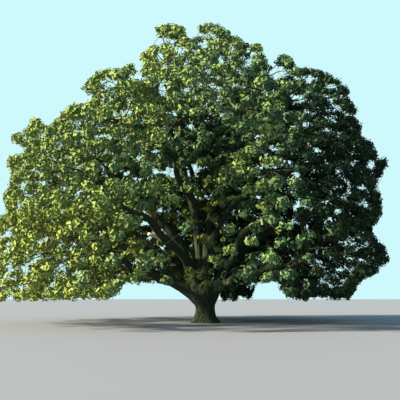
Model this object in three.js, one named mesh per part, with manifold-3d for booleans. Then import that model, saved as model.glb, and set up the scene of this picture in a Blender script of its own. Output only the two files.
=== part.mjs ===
// A large open-grown oak in full summer leaf, as it stands alone in a field.
// A short thick trunk flares into its roots at the ground and opens, below head height, into a
// ring of heavy limbs. They carry a low, wide, domed crown that nearly touches the ground.
// Millimetres, +Z up. The origin is the middle of the flat cut under the trunk, at ground level.
// +X is the right of the crown as it is seen from the front, and the front faces -Y.
import * as THREE from "three";
import { mergeVertices } from "three/addons/utils/BufferGeometryUtils.js";
import Module from "manifold-3d";

const wasm = await Module();
wasm.setup();

const UP = new THREE.Vector3(0, 0, 1);
const GOLDEN_ANGLE = Math.PI * (3 - Math.sqrt(5));
const FULL_TURN = 2 * Math.PI;

// Clear gap between two pieces that touch on the real tree
const GAP = 0.3;

// How far the leaves reach from the trunk's axis on the right and the left, height by height
const CROWN_OUTLINE = [
  { height: 1400, right: 11600, left: 13400 },
  { height: 5400, right: 12500, left: 14100 },
  { height: 8200, right: 12300, left: 13900 },
  { height: 10900, right: 12800, left: 13600 },
  { height: 13000, right: 11500, left: 12600 },
  { height: 14900, right: 10500, left: 10000 },
  { height: 16400, right: 9500, left: 8500 },
  { height: 17500, right: 8300, left: 7300 },
  { height: 18400, right: 6600, left: 5400 },
  { height: 19600, right: 4300, left: 4200 },
  { height: 20500, right: 2800, left: 3400 },
  { height: 21000, right: 2200, left: 2900 },
];
const LOWEST_LEAF = 1350;

// Someone who stands in front of the tree, to whom the near side of the crown looks larger
const VIEWER = { distance: 40200, eye: 1650 };

// The crown is built of masses of foliage in tiers. Bearings are in degrees from +X, seen from above.
// A mass is a flattened ball. A tier is lifted by `lift` at the front and by `tilt` at the right.
// The tiers leave a window at the front, where the limbs show.
const CROWN_HEART = new THREE.Vector3(0, 0, 6500);
const TIERS = [
  { name: "low", count: 9, height: 4150, radius: 3500, bearing: -54, step: 36, lift: 300, tilt: 0 },
  { name: "middle", count: 8, height: 8000, radius: 3500, bearing: -50, step: 40, lift: 800, tilt: -100 },
  { name: "high", count: 8, height: 11800, radius: 3400, bearing: -90, step: 45, lift: 0, tilt: -400 },
  { name: "upper", count: 6, height: 15400, radius: 3000, bearing: -50, step: 60, lift: 0, tilt: 0 },
  { name: "top", count: 2, height: 18600, radius: 2650, bearing: -15, step: 185, lift: 0, tilt: 0 },
];
const MASS = { flatness: 0.8, bearingSpread: 8, radiusSpread: 0.1, heightSpread: 500 };

// Neighbouring masses keep a strip free between their spaces, in square millimetres of their claims
const BORDER = 4e4;

// Young shoots that break from the trunk under its fork, as smaller masses of their own
const SHOOTS = [
  { name: "shoot_right", bearing: -56, distance: 2400, height: 2700, radius: 1050, twigs: 6 },
  { name: "shoot_fork", bearing: -112, distance: 1350, height: 2750, radius: 650, twigs: 4 },
];
const SHOOT = { startRadius: 480, startHeight: 1500, vigour: 0.5, lift: 0.5 };

// The trunk is narrowest at the waist. Its foot spreads into root buttresses and its head, between
// the waist and `headHeight`, into the limbs. It ends in a low dome in the middle of the fork.
const TRUNK = {
  height: 2350,
  waistRadius: 600,
  waistHeight: 980,
  footSpread: 380,
  footDepth: 340,
  headSpread: 330,
  headHeight: 1900,
  buttresses: 5,
  buttressSpread: 190,
  buttressDrift: 0.6,
  lean: 60,
  sides: 20,
  rings: 9,
  ringCrowding: 1.5,
  domeShare: 0.72,
  domeRise: 180,
};

// The limbs. Each starts in the trunk's head, `ring` mm from its axis at the height `fork`, or a
// share of the way along another limb. It rises at `rise` degrees, ends at `level` degrees and
// carries the masses that it names at its tip. `base` and `tip` are its radii.
const BOUGHS = [
  { name: "leader_left", from: "trunk", side: 150, ring: 170, fork: 1680,
    rise: 88, level: 66, base: 255, tip: 105, carries: ["top_2", "upper_5"] },
  { name: "leader_right", from: "trunk", side: -30, ring: 190, fork: 1680,
    rise: 95, level: 62, base: 260, tip: 105, carries: ["top_1", "upper_2"] },
  { name: "bough_low_left", from: "trunk", side: 180, ring: 400, fork: 1400,
    rise: 46, level: 4, base: 310, tip: 120, carries: ["low_7", "low_6"] },
  { name: "bough_low_right", from: "trunk", side: -35, ring: 430, fork: 1640,
    rise: 42, level: 2, base: 270, tip: 110, carries: ["low_1", "low_2"] },
  { name: "bough_high_left", from: "trunk", side: 172, ring: 300, fork: 1680,
    rise: 71, level: 35, base: 340, tip: 105, carries: ["high_7", "high_6"] },
  { name: "bough_middle_right", from: "trunk", side: 10, ring: 400, fork: 1680,
    rise: 64, level: 0, base: 310, tip: 120, carries: ["middle_2", "middle_3"] },
  { name: "bough_middle_back", from: "trunk", side: 90, ring: 400, fork: 1680,
    rise: 60, level: 16, base: 290, tip: 115, carries: ["middle_4", "middle_5"] },
  { name: "bough_low_back_right", from: "trunk", side: 45, ring: 430, fork: 1640,
    rise: 44, level: 4, base: 270, tip: 110, carries: ["low_3", "low_4"] },
  { name: "bough_low_back_left", from: "trunk", side: 125, ring: 430, fork: 1640,
    rise: 44, level: 6, base: 270, tip: 110, carries: ["low_5"] },
  { name: "bough_low_front_left", from: "bough_low_left", share: 0.3,
    rise: 8, level: -4, base: 200, tip: 95, carries: ["low_8", "low_9"] },
  { name: "bough_middle_left", from: "bough_low_left", share: 0.24,
    rise: 50, level: 12, base: 230, tip: 110, carries: ["middle_7", "middle_6"] },
  { name: "bough_middle_front_left", from: "bough_high_left", share: 0.2,
    rise: 46, level: 24, base: 230, tip: 100, carries: ["middle_8"] },
  { name: "bough_middle_front_right", from: "bough_middle_right", share: 0.2,
    rise: 44, level: 18, base: 210, tip: 100, carries: ["middle_1"] },
  { name: "bough_high_right", from: "leader_right", share: 0.2,
    rise: 74, level: 22, base: 205, tip: 100, carries: ["high_2", "high_3"] },
  { name: "bough_high_back", from: "leader_right", share: 0.34,
    rise: 60, level: 28, base: 190, tip: 95, carries: ["high_4", "high_5"] },
  { name: "bough_high_front", from: "leader_left", share: 0.32,
    rise: 66, level: 30, base: 190, tip: 95, carries: ["high_1", "high_8"] },
  { name: "bough_upper_front_right", from: "leader_right", share: 0.55,
    rise: 62, level: 36, base: 140, tip: 80, carries: ["upper_1"] },
  { name: "bough_upper_front_left", from: "leader_left", share: 0.56,
    rise: 62, level: 36, base: 140, tip: 80, carries: ["upper_6"] },
  { name: "bough_upper_back", from: "leader_left", share: 0.48,
    rise: 62, level: 36, base: 145, tip: 80, carries: ["upper_3", "upper_4"] },
];

// How a limb bends and how crooked it is, as shares of its length, and how finely it is made
const LIMB = {
  leaving: 0.4,
  arriving: 0.3,
  crook: 0.035,
  stemCrook: 0.03,
  fewestWaves: 1.2,
  moreWaves: 1.3,
  upAndDown: 0.6,
  shortOfMass: 0.72,
  steps: 6,
  sides: 7,
  slenderSides: 6,
  slenderBase: 200,
};

// A dead limb, long broken off, that is left as a stub on the limb that reaches to the front left
const STUB = {
  from: "bough_middle_front_left",
  share: 0.3,
  bearing: 196,
  rise: 20,
  length: 1350,
  base: 150,
  tip: 105,
};

// Growth of a mass: a stem, twigs that fan out over its outer side, and a whorl of leaves at the end
// of each twig. Lengths are shares of the mass's radius, and of the whorl's radius inside a whorl.
const GROWTH = {
  twigs: 8,
  vigour: 1,
  stemBase: 95,
  stemTip: 65,
  stemSides: 3,
  stemSteps: 2,
  stemSeat: 30,
  stemsApart: 2.3,
  twigBase: 22,
  twigTip: 15,
  twigSides: 3,
  firstTwig: 0.5,
  lastTwig: 0.97,
  fan: 1.5,
  between: [0, 0.25, 0.5, 0.75],
  furthest: 1.28,
  drawIn: 0.08,
  shrink: 0.035,
  tries: 10,
  whorlRadius: 0.6,
  whorlSpread: 0.2,
  leaves: 5,
  leafSpread: 0.3,
  notch: 0.66,
  droop: 0.34,
  thickness: 0.06,
  facingUp: 0.4,
  joint: 0.14,
};

// Where each seeded series starts, and which draw of a seed decides what
const SEED = { tier: 100, bough: 500, shoot: 600, twigsOfMass: 20 };
const DRAW = {
  bearing: 1,
  radius: 2,
  height: 3,
  crookPhase: 11,
  crookWaves: 12,
  fanTurn: 21,
  reach: 31,
  whorlTurn: 41,
  whorlSize: 50,
  leafLength: 70,
};

// A number from 0 to 1 that is always the same for the same seed and draw, by mixing their bits
function chance(seed, draw) {
  let bits = Math.imul(seed, 374761393) + Math.imul(draw, 668265263);
  bits = Math.imul(bits ^ (bits >>> 13), 1274126177);
  return ((bits ^ (bits >>> 16)) >>> 0) / 2 ** 32;
}

// A value spread evenly round a middle one
function around(middle, spread, seed, draw) {
  return middle + spread * (chance(seed, draw) - 0.5);
}

function bearingVector(degrees, rise = 0) {
  const turn = THREE.MathUtils.degToRad(degrees);
  const up = THREE.MathUtils.degToRad(rise);
  return new THREE.Vector3(
    Math.cos(turn) * Math.cos(up),
    Math.sin(turn) * Math.cos(up),
    Math.sin(up),
  );
}

// How far the crown reaches at a height, in a direction between its right and left outlines
function crownReach(height, degrees) {
  const last = CROWN_OUTLINE.length - 1;
  const above = CROWN_OUTLINE.findIndex((row) => row.height > height);
  const i = above < 0 ? last : Math.max(1, above);
  const low = CROWN_OUTLINE[i - 1];
  const high = CROWN_OUTLINE[i];
  const share = THREE.MathUtils.clamp((height - low.height) / (high.height - low.height), 0, 1);
  const rightness = (1 + Math.cos(THREE.MathUtils.degToRad(degrees))) / 2;
  const right = THREE.MathUtils.lerp(low.right, high.right, share);
  const left = THREE.MathUtils.lerp(low.left, high.left, share);
  return THREE.MathUtils.lerp(left, right, rightness);
}

// How far from the axis a mass's centre can lie for the whole mass to keep inside the outline,
// tried at levels from the mass's lowest point to its highest
function inscribedDistance(height, radius, degrees) {
  const steps = 20;
  const levels = Array.from({ length: steps + 1 }, (unused, i) => (2 * i) / steps - 1);
  return Math.min(
    ...levels.map(
      (level) =>
        crownReach(height + level * MASS.flatness * radius, degrees) -
        radius * Math.sqrt(1 - level * level),
    ),
  );
}

// The masses of one tier, spaced round the crown so that each just reaches its outline
function tierMasses(tier, firstSeed) {
  return Array.from({ length: tier.count }, (unused, k) => {
    const seed = firstSeed + k;
    const degrees = around(tier.bearing + k * tier.step, MASS.bearingSpread, seed, DRAW.bearing);
    const rightness = Math.cos(THREE.MathUtils.degToRad(degrees));
    const frontness = Math.max(0, -Math.sin(THREE.MathUtils.degToRad(degrees)));
    const radius = tier.radius * around(1, MASS.radiusSpread, seed, DRAW.radius);
    const leaning = tier.lift * frontness + tier.tilt * rightness;
    const height = around(tier.height + leaning, MASS.heightSpread, seed, DRAW.height);
    const distance = inscribedDistance(height, radius, degrees);
    const centre = bearingVector(degrees).multiplyScalar(distance).setZ(height);
    const outward = centre.clone().sub(CROWN_HEART).normalize();
    const { twigs, vigour } = GROWTH;
    return { name: tier.name + "_" + (k + 1), seed, radius, centre, outward, twigs, vigour };
  });
}

function shootMass(row, index) {
  const { name, radius, twigs } = row;
  const { vigour } = SHOOT;
  const seed = SEED.shoot + index;
  const centre = bearingVector(row.bearing).multiplyScalar(row.distance).setZ(row.height);
  const outward = bearingVector(row.bearing).addScaledVector(UP, SHOOT.lift).normalize();
  return { name, seed, radius, centre, outward, twigs, vigour };
}

const crownMasses = TIERS.flatMap((tier, t) => tierMasses(tier, SEED.tier * (t + 1)));
const shootMasses = SHOOTS.map(shootMass);
const masses = [...crownMasses, ...shootMasses];
const massNamed = new Map(masses.map((mass) => [mass.name, mass]));

// A mass's claim to a point is stronger the lower it is, and below zero inside the mass
function claim(point, mass) {
  const away = point.clone().sub(mass.centre);
  away.z /= MASS.flatness;
  return away.lengthSq() - mass.radius ** 2;
}

// A mass keeps the points that it has a stronger claim to than any other mass
function ownedBy(point, mass) {
  const own = claim(point, mass) + BORDER;
  return masses.every((other) => other === mass || own < claim(point, other));
}

// The outline holds round the tree, and also as the tree is seen by someone standing in front of it
function insideCrown(point) {
  const degrees = THREE.MathUtils.radToDeg(Math.atan2(point.y, point.x));
  const nearness = VIEWER.distance / (VIEWER.distance + point.y);
  const seenHeight = VIEWER.eye + (point.z - VIEWER.eye) * nearness;
  const seenReach = crownReach(seenHeight, point.x > 0 ? 0 : 180);
  return (
    point.z > LOWEST_LEAF &&
    Math.max(point.z, seenHeight) < CROWN_OUTLINE.at(-1).height &&
    Math.hypot(point.x, point.y) < crownReach(point.z, degrees) &&
    Math.abs(point.x) * nearness < seenReach
  );
}

// A limb's middle line: a bend from one point and direction to another, with a seeded crook that
// fades out at both ends
class LimbPath extends THREE.Curve {
  constructor(start, startDirection, end, endDirection, seed, crook = LIMB.crook) {
    super();
    const length = start.distanceTo(end);
    this.bend = new THREE.CubicBezierCurve3(
      start,
      start.clone().addScaledVector(startDirection, LIMB.leaving * length),
      end.clone().addScaledVector(endDirection, -LIMB.arriving * length),
      end,
    );
    this.sideways = new THREE.Vector3().crossVectors(UP, end.clone().sub(start)).normalize();
    this.amount = crook * length;
    this.phase = FULL_TURN * chance(seed, DRAW.crookPhase);
    this.waves = LIMB.fewestWaves + LIMB.moreWaves * chance(seed, DRAW.crookWaves);
  }
  getPoint(t, target = new THREE.Vector3()) {
    const swing = this.phase + this.waves * FULL_TURN * t;
    const fade = 4 * t * (1 - t) * this.amount;
    return this.bend
      .getPoint(t, target)
      .addScaledVector(this.sideways, fade * Math.sin(swing))
      .addScaledVector(UP, LIMB.upAndDown * fade * Math.cos(swing));
  }
}

// A closed manifold solid from a three.js geometry, with its shared corners merged
function solidOf(geometry) {
  const bare = geometry.clone();
  bare.deleteAttribute("normal");
  bare.deleteAttribute("uv");
  const merged = mergeVertices(bare, 1e-3);
  return new wasm.Manifold(
    new wasm.Mesh({
      numProp: 3,
      vertProperties: new Float32Array(merged.attributes.position.array),
      triVerts: new Uint32Array(merged.index.array),
    }),
  );
}

// The largest body of a solid, without sealed hollows or loose scraps
function largestBody(solid) {
  return solid.decompose().reduce((most, body) => (body.volume() > most.volume() ? body : most));
}

// A cylinder bent along a path, tapering from its base to its tip, or the same a little larger all round
function taperedTube(path, baseRadius, tipRadius, sides, steps, grow = 0) {
  const geometry = new THREE.CylinderGeometry(1, 1, 1, sides, steps);
  const frames = path.computeFrenetFrames(steps);
  const rings = Array.from({ length: steps + 1 }, (unused, i) => path.getPointAt(i / steps));
  rings[0].addScaledVector(frames.tangents[0], -grow);
  rings[steps].addScaledVector(frames.tangents[steps], grow);
  const position = geometry.attributes.position;
  for (let v = 0; v < position.count; v++) {
    const along = position.getY(v) + 0.5;
    const i = Math.round(along * steps);
    const radius = THREE.MathUtils.lerp(baseRadius, tipRadius, along) + grow;
    const point = rings[i]
      .clone()
      .addScaledVector(frames.binormals[i], radius * position.getX(v))
      .addScaledVector(frames.normals[i], radius * position.getZ(v));
    position.setXYZ(v, point.x, point.y, point.z);
  }
  return solidOf(geometry);
}

// A point on the middle line of such a tube, which is straight between its rings
function pointInTube(path, steps, share) {
  const ring = Math.min(Math.floor(share * steps), steps - 1);
  const before = path.getPointAt(ring / steps);
  const after = path.getPointAt((ring + 1) / steps);
  return before.lerp(after, share * steps - ring);
}

// The trunk, from the flat cut at the ground to the head that the limbs grow from
function trunkRadius(height, turn) {
  const foot = Math.exp(-height / TRUNK.footDepth);
  const head = THREE.MathUtils.smoothstep(height, TRUNK.waistHeight, TRUNK.headHeight);
  const fold = Math.max(0, Math.cos(TRUNK.buttresses * turn + TRUNK.buttressDrift * Math.sin(turn)));
  return (
    TRUNK.waistRadius +
    (TRUNK.footSpread + TRUNK.buttressSpread * fold) * foot +
    TRUNK.headSpread * head
  );
}

function trunkSolid(grow = 0) {
  const geometry = new THREE.CylinderGeometry(1, 1, 1, TRUNK.sides, TRUNK.rings);
  const position = geometry.attributes.position;
  for (let v = 0; v < position.count; v++) {
    const share = position.getY(v) + 0.5;
    const ring = Math.round(share * TRUNK.rings);
    const height = TRUNK.height * share ** TRUNK.ringCrowding;
    const turn = Math.atan2(-position.getZ(v), position.getX(v));
    const fromAxis = Math.hypot(position.getX(v), position.getZ(v));
    const narrowing = ring === TRUNK.rings ? TRUNK.domeShare : 1;
    const dome = ring === TRUNK.rings ? TRUNK.domeRise * (1 - fromAxis) + grow : 0;
    const radius = fromAxis * (trunkRadius(height, turn) * narrowing + grow);
    position.setXYZ(
      v,
      TRUNK.lean * share + radius * Math.cos(turn),
      radius * Math.sin(turn),
      height + dome,
    );
  }
  return solidOf(geometry);
}

// A bough heads for the middle of the masses that it carries, and its tip stops short of them
function boughPath(row, index, paths) {
  const carried = row.carries.map((name) => massNamed.get(name));
  const middle = carried
    .reduce((sum, mass) => sum.add(mass.centre), new THREE.Vector3())
    .divideScalar(carried.length);
  const start =
    row.from === "trunk"
      ? bearingVector(row.side).multiplyScalar(row.ring).setZ(row.fork)
      : paths.get(row.from).getPointAt(row.share);
  const heading = middle.clone().sub(start);
  const flat = THREE.MathUtils.radToDeg(Math.atan2(heading.y, heading.x));
  const short = LIMB.shortOfMass * carried[0].radius;
  return new LimbPath(
    start,
    bearingVector(row.side ?? flat, row.rise),
    middle.addScaledVector(heading.normalize(), -short),
    bearingVector(flat, row.level),
    SEED.bough + index,
  );
}

const paths = new Map();
BOUGHS.forEach((row, index) => paths.set(row.name, boughPath(row, index, paths)));

// Limbs are cut clear of the trunk and of the limbs made before them
const limbs = new Map([["trunk", trunkSolid()]]);
const wood = [trunkSolid(GAP)];

function cutClear(tube) {
  const solid = wood.reduce((left, other) => left.subtract(other), tube(0));
  wood.push(tube(GAP));
  return largestBody(solid);
}

for (const row of BOUGHS) {
  const sides = row.base > LIMB.slenderBase ? LIMB.sides : LIMB.slenderSides;
  const tube = (grow) => taperedTube(paths.get(row.name), row.base, row.tip, sides, LIMB.steps, grow);
  limbs.set(row.name, cutClear(tube));
}

function stubTube(grow) {
  const start = paths.get(STUB.from).getPointAt(STUB.share);
  const way = bearingVector(STUB.bearing, STUB.rise).multiplyScalar(STUB.length);
  const path = new THREE.LineCurve3(start, start.clone().add(way));
  return taperedTube(path, STUB.base, STUB.tip, LIMB.sides, 1, grow);
}
limbs.set("broken_stub", cutClear(stubTube));

// The stems of a bough's masses start side by side at its tip and part towards their masses
function stemPaths(row) {
  const path = paths.get(row.name);
  const ahead = path.getTangentAt(1);
  const tip = path.getPointAt(1).addScaledVector(ahead, -GROWTH.stemSeat);
  const carried = row.carries.map((name) => massNamed.get(name));
  const parting = carried.at(-1).centre.clone().sub(carried[0].centre);
  const across = parting.projectOnPlane(ahead).normalize();
  return carried.map((mass, k) => {
    const place = k - (carried.length - 1) / 2;
    const start = tip.clone().addScaledVector(across, place * GROWTH.stemsApart * GROWTH.stemBase);
    const arrival = mass.centre.clone().sub(start).normalize();
    return { mass, path: new LimbPath(start, ahead, mass.centre, arrival, mass.seed, LIMB.stemCrook) };
  });
}

function shootStemPath(mass) {
  const flat = mass.centre.clone().setZ(0).normalize();
  const start = flat.clone().multiplyScalar(SHOOT.startRadius).setZ(SHOOT.startHeight);
  return { mass, path: new LimbPath(start, flat, mass.centre, UP, mass.seed, LIMB.stemCrook) };
}

const stems = [...BOUGHS.flatMap(stemPaths), ...shootMasses.map(shootStemPath)];
for (const stem of stems) {
  const base = GROWTH.stemBase * stem.mass.vigour;
  const tip = GROWTH.stemTip * stem.mass.vigour;
  const tube = (grow) => taperedTube(stem.path, base, tip, GROWTH.stemSides, GROWTH.stemSteps, grow);
  stem.solid = cutClear(tube);
  stem.grown = wood.at(-1);
}

// Two directions square to a third
function crossDirections(axis) {
  const first = new THREE.Vector3().crossVectors(UP, axis).normalize();
  return [first, new THREE.Vector3().crossVectors(axis, first)];
}

// A corner of a whorl's rim, from the whorl's middle: a leaf's tip where it is even, else a notch
function rimCorner(i, radius, seed) {
  const corners = 2 * GROWTH.leaves;
  const length = i % 2 ? GROWTH.notch : around(1, GROWTH.leafSpread, seed, DRAW.leafLength + i);
  const turn = FULL_TURN * (i / corners + chance(seed, DRAW.whorlTurn));
  const way = new THREE.Vector3(Math.cos(turn), Math.sin(turn), -GROWTH.droop * length);
  return way.multiplyScalar(length * radius);
}

// A whorl of broad leaves that droop from the end of a twig, joined there into one thin solid.
// It is a cone whose rim runs from leaf tip to notch and whose base is pushed up under its apex.
// The twig's end lies inside it, between the middle and the rim.
function whorlGeometry(twigEnd, facing, radius, seed) {
  const corners = 2 * GROWTH.leaves;
  const halfThickness = (GROWTH.thickness * radius) / 2;
  const joint = rimCorner(0, radius, seed).add(rimCorner(1, radius, seed)).multiplyScalar(GROWTH.joint);
  const geometry = new THREE.ConeGeometry(1, 1, corners);
  const position = geometry.attributes.position;
  for (let v = 0; v < position.count; v++) {
    const onRim = Math.hypot(position.getX(v), position.getZ(v)) > 0.5;
    const turn = Math.atan2(position.getX(v), position.getZ(v)) / FULL_TURN;
    const corner = (Math.round(turn * corners) + corners) % corners;
    const middle = new THREE.Vector3(0, 0, halfThickness * Math.sign(position.getY(v)));
    const point = (onRim ? rimCorner(corner, radius, seed) : middle).sub(joint);
    position.setXYZ(v, point.x, point.y, point.z);
  }
  const [first, second] = crossDirections(facing);
  geometry.applyMatrix4(new THREE.Matrix4().makeBasis(first, second, facing));
  return geometry.translate(twigEnd.x, twigEnd.y, twigEnd.z);
}

function geometryPoints(geometry) {
  const position = geometry.attributes.position;
  return Array.from({ length: position.count }, (unused, v) =>
    new THREE.Vector3().fromBufferAttribute(position, v),
  );
}

// Directions that fan out evenly round a mass's outer side by the golden angle
function fanDirection(k, mass) {
  const height = 1 - (GROWTH.fan * (k + 0.5)) / mass.twigs;
  const turn = k * GOLDEN_ANGLE + FULL_TURN * chance(mass.seed, DRAW.fanTurn);
  const level = Math.sqrt(1 - height * height);
  const [first, second] = crossDirections(mass.outward);
  return mass.outward
    .clone()
    .multiplyScalar(height)
    .addScaledVector(first, level * Math.cos(turn))
    .addScaledVector(second, level * Math.sin(turn));
}

// A twig with its whorl, drawn in and made smaller until both keep to the mass's own space and
// clear of the limbs and of the mass's other whorls, or nothing where they never do
function twigWithWhorl(mass, start, out, seed, isClear) {
  const facing = out.clone().addScaledVector(UP, GROWTH.facingUp).normalize();
  const twigBase = GROWTH.twigBase * mass.vigour;
  const twigTip = GROWTH.twigTip * mass.vigour;
  for (let n = 0; n < GROWTH.tries; n++) {
    const reach = GROWTH.furthest - GROWTH.drawIn * (n + chance(seed, DRAW.reach));
    const way = new THREE.Vector3(out.x, out.y, out.z * MASS.flatness);
    const end = mass.centre.clone().addScaledVector(way, reach * mass.radius);
    const size = around(1, GROWTH.whorlSpread, seed, DRAW.whorlSize) * (1 - GROWTH.shrink * n);
    const leaves = whorlGeometry(end, facing, mass.radius * GROWTH.whorlRadius * size, seed);
    const isInside = (point) => ownedBy(point, mass) && insideCrown(point);
    if (!geometryPoints(leaves).every(isInside)) continue;
    const whorl = solidOf(leaves);
    const twig = taperedTube(new THREE.LineCurve3(start, end), twigBase, twigTip, GROWTH.twigSides, 1);
    if (isClear(whorl, twig)) return { whorl, twig };
  }
  return null;
}

// One mass: its stem, the twigs that leave it one behind the other, and the whorls at their ends
function massSolid(stem) {
  const { mass, path } = stem;
  const limbsNear = wood.filter((other) => other !== stem.grown);
  const whorls = [];
  const twigs = [];
  const isFree = (solid, others) => others.every((other) => other.intersect(solid).isEmpty());
  const isClear = (whorl, twig) =>
    isFree(twig, [...limbsNear, ...whorls]) &&
    isFree(whorl, [...limbsNear, ...whorls, ...twigs, stem.solid]);
  let whole = stem.solid;
  for (let k = 0; k < mass.twigs; k++) {
    const share = THREE.MathUtils.lerp(GROWTH.lastTwig, GROWTH.firstTwig, k / mass.twigs);
    const start = pointInTube(path, GROWTH.stemSteps, share);
    const seed = mass.seed * SEED.twigsOfMass + k;
    const grown = GROWTH.between.reduce(
      (found, between) =>
        found ?? twigWithWhorl(mass, start, fanDirection(k + between, mass), seed, isClear),
      null,
    );
    if (!grown) continue;
    whole = whole.add(grown.twig).add(grown.whorl);
    whorls.push(grown.whorl);
    twigs.push(grown.twig);
  }
  return largestBody(whole);
}

function geometryOf(solid) {
  const mesh = solid.getMesh();
  const geometry = new THREE.BufferGeometry();
  geometry.setAttribute("position", new THREE.BufferAttribute(mesh.vertProperties, 3));
  geometry.setIndex(new THREE.BufferAttribute(mesh.triVerts, 1));
  geometry.computeVertexNormals();
  return geometry;
}

const barkFinish = () =>
  new THREE.MeshStandardMaterial({ color: 0x4d4638, roughness: 0.95, metalness: 0 });
const leafFinish = () =>
  new THREE.MeshStandardMaterial({ color: 0x55702e, roughness: 0.7, metalness: 0 });

function namedMesh(name, solid, material) {
  const mesh = new THREE.Mesh(geometryOf(solid), material);
  mesh.name = name;
  return mesh;
}

const tree = new THREE.Group();
tree.name = "oak_tree";
for (const [name, solid] of limbs) {
  tree.add(namedMesh(name, solid, barkFinish()));
}
for (const stem of stems) {
  tree.add(namedMesh("foliage_" + stem.mass.name, massSolid(stem), leafFinish()));
}

export default tree;
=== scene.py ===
import math

import bpy
import numpy as np
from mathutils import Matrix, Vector, kdtree, noise


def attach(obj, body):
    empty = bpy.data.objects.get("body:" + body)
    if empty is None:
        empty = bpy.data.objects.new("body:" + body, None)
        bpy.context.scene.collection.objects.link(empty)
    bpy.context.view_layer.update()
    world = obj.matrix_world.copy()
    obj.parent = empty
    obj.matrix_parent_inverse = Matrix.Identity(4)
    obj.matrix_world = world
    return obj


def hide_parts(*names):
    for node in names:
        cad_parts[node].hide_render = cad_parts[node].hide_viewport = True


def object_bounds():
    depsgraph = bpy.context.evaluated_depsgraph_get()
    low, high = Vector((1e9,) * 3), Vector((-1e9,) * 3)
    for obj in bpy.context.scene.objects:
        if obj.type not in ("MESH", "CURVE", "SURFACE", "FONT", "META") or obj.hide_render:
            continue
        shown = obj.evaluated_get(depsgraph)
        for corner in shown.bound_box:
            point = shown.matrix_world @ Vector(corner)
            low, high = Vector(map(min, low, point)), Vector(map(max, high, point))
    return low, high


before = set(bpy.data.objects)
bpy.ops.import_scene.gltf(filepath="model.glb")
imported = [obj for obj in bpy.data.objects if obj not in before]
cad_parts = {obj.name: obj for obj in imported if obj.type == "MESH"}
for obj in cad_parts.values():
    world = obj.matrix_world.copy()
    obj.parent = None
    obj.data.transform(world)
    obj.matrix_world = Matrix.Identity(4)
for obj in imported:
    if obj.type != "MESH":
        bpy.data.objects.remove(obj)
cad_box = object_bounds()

# The view. The photographer stands in the field in front of the tree, at eye height, and tilts the
# camera up at the crown. The trunk stands a little to the right of the middle of the picture.
EYE_HEIGHT = 1.65
VIEWER_DISTANCE = 40.2
VIEWER_ASIDE = -0.3
TILT_UP = 9.18
FOCAL_LENGTH = 54.0
SENSOR_WIDTH = 36.0
FARTHEST_SEEN = 2000.0

camera = bpy.data.objects.new("camera", bpy.data.cameras.new("camera"))
bpy.context.scene.collection.objects.link(camera)
camera.data.lens = FOCAL_LENGTH
camera.data.sensor_width = SENSOR_WIDTH
camera.data.clip_end = FARTHEST_SEEN
camera.location = (VIEWER_ASIDE, -VIEWER_DISTANCE, EYE_HEIGHT)
camera.rotation_euler = (math.radians(90 + TILT_UP), 0, 0)
bpy.context.scene.camera = camera

# The crown's space. An open-grown oak fills a low, wide dome that nearly touches the ground. It
# grows as separate masses of foliage in tiers, each in a space of its own beside its neighbours'.
# Lengths are in metres and bearings in degrees from +X, seen from above.
CROWN_OUTLINE = np.array([
    # height, reach to the right, reach to the left
    (1.4, 11.6, 13.4),
    (5.4, 12.5, 14.1),
    (8.2, 12.3, 13.9),
    (10.9, 12.8, 13.6),
    (13.0, 11.5, 12.6),
    (14.9, 10.5, 10.0),
    (16.4, 9.5, 8.5),
    (17.5, 8.3, 7.3),
    (18.4, 6.6, 5.4),
    (19.6, 4.3, 4.2),
    (20.5, 2.8, 3.4),
    (21.0, 2.2, 2.9),
])
LOWEST_LEAF = 1.35
CROWN_HEART = np.array((0.0, 0.0, 6.5))
FLATNESS = 0.8
UP = np.array((0.0, 0.0, 1.0))
GOLDEN_ANGLE = math.pi * (3 - math.sqrt(5))
TIERS = (
    # name, masses, height, radius, first bearing, step, lift at the front, lift at the right
    ("low", 9, 4.15, 3.5, -54, 36, 0.3, 0.0),
    ("middle", 8, 8.0, 3.5, -50, 40, 0.8, -0.1),
    ("high", 8, 11.8, 3.4, -90, 45, 0.0, -0.4),
    ("upper", 6, 15.4, 3.0, -50, 60, 0.0, 0.0),
    ("top", 2, 18.6, 2.65, -15, 185, 0.0, 0.0),
)
SHOOTS = (
    # name, bearing, distance from the axis, height, radius
    ("shoot_right", -56, 2.4, 2.7, 1.05),
    ("shoot_fork", -112, 1.35, 2.75, 0.65),
)
BEARING_SPREAD = 8
RADIUS_SPREAD = 0.1
HEIGHT_SPREAD = 0.5
SHOOT_LIFT = 0.5
MASS_LEVELS = 21
MASS_BRANCHES = 8
SHOOT_BRANCHES = 5
TIER_SEED = 100
SHOOT_SEED = 600
SEED_FACTOR = 374761393
DRAW_FACTOR = 668265263
MIX_FACTOR = 1274126177
WHOLE = 2**32


def chance(seed, draw):
    """A number from 0 to 1 that is always the same for the same seed and draw."""
    bits = (seed * SEED_FACTOR + draw * DRAW_FACTOR) % WHOLE
    bits = (bits ^ (bits >> 13)) * MIX_FACTOR % WHOLE
    return (bits ^ (bits >> 16)) / WHOLE


def around(middle, spread, seed, draw):
    """A value by chance from a range of this width about the middle."""
    return middle + spread * (chance(seed, draw) - 0.5)


def unit(vectors):
    return vectors / np.linalg.norm(vectors, axis=-1, keepdims=True)


def bearing_vector(degrees, rise=0.0):
    turn, up = math.radians(degrees), math.radians(rise)
    return np.array((math.cos(turn) * math.cos(up), math.sin(turn) * math.cos(up), math.sin(up)))


def crown_reach(heights, rightness):
    """How far the leaves reach at a height; rightness is 1 at the right, 0 at the left."""
    right = np.interp(heights, CROWN_OUTLINE[:, 0], CROWN_OUTLINE[:, 1])
    left = np.interp(heights, CROWN_OUTLINE[:, 0], CROWN_OUTLINE[:, 2])
    return left + (right - left) * rightness


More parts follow.
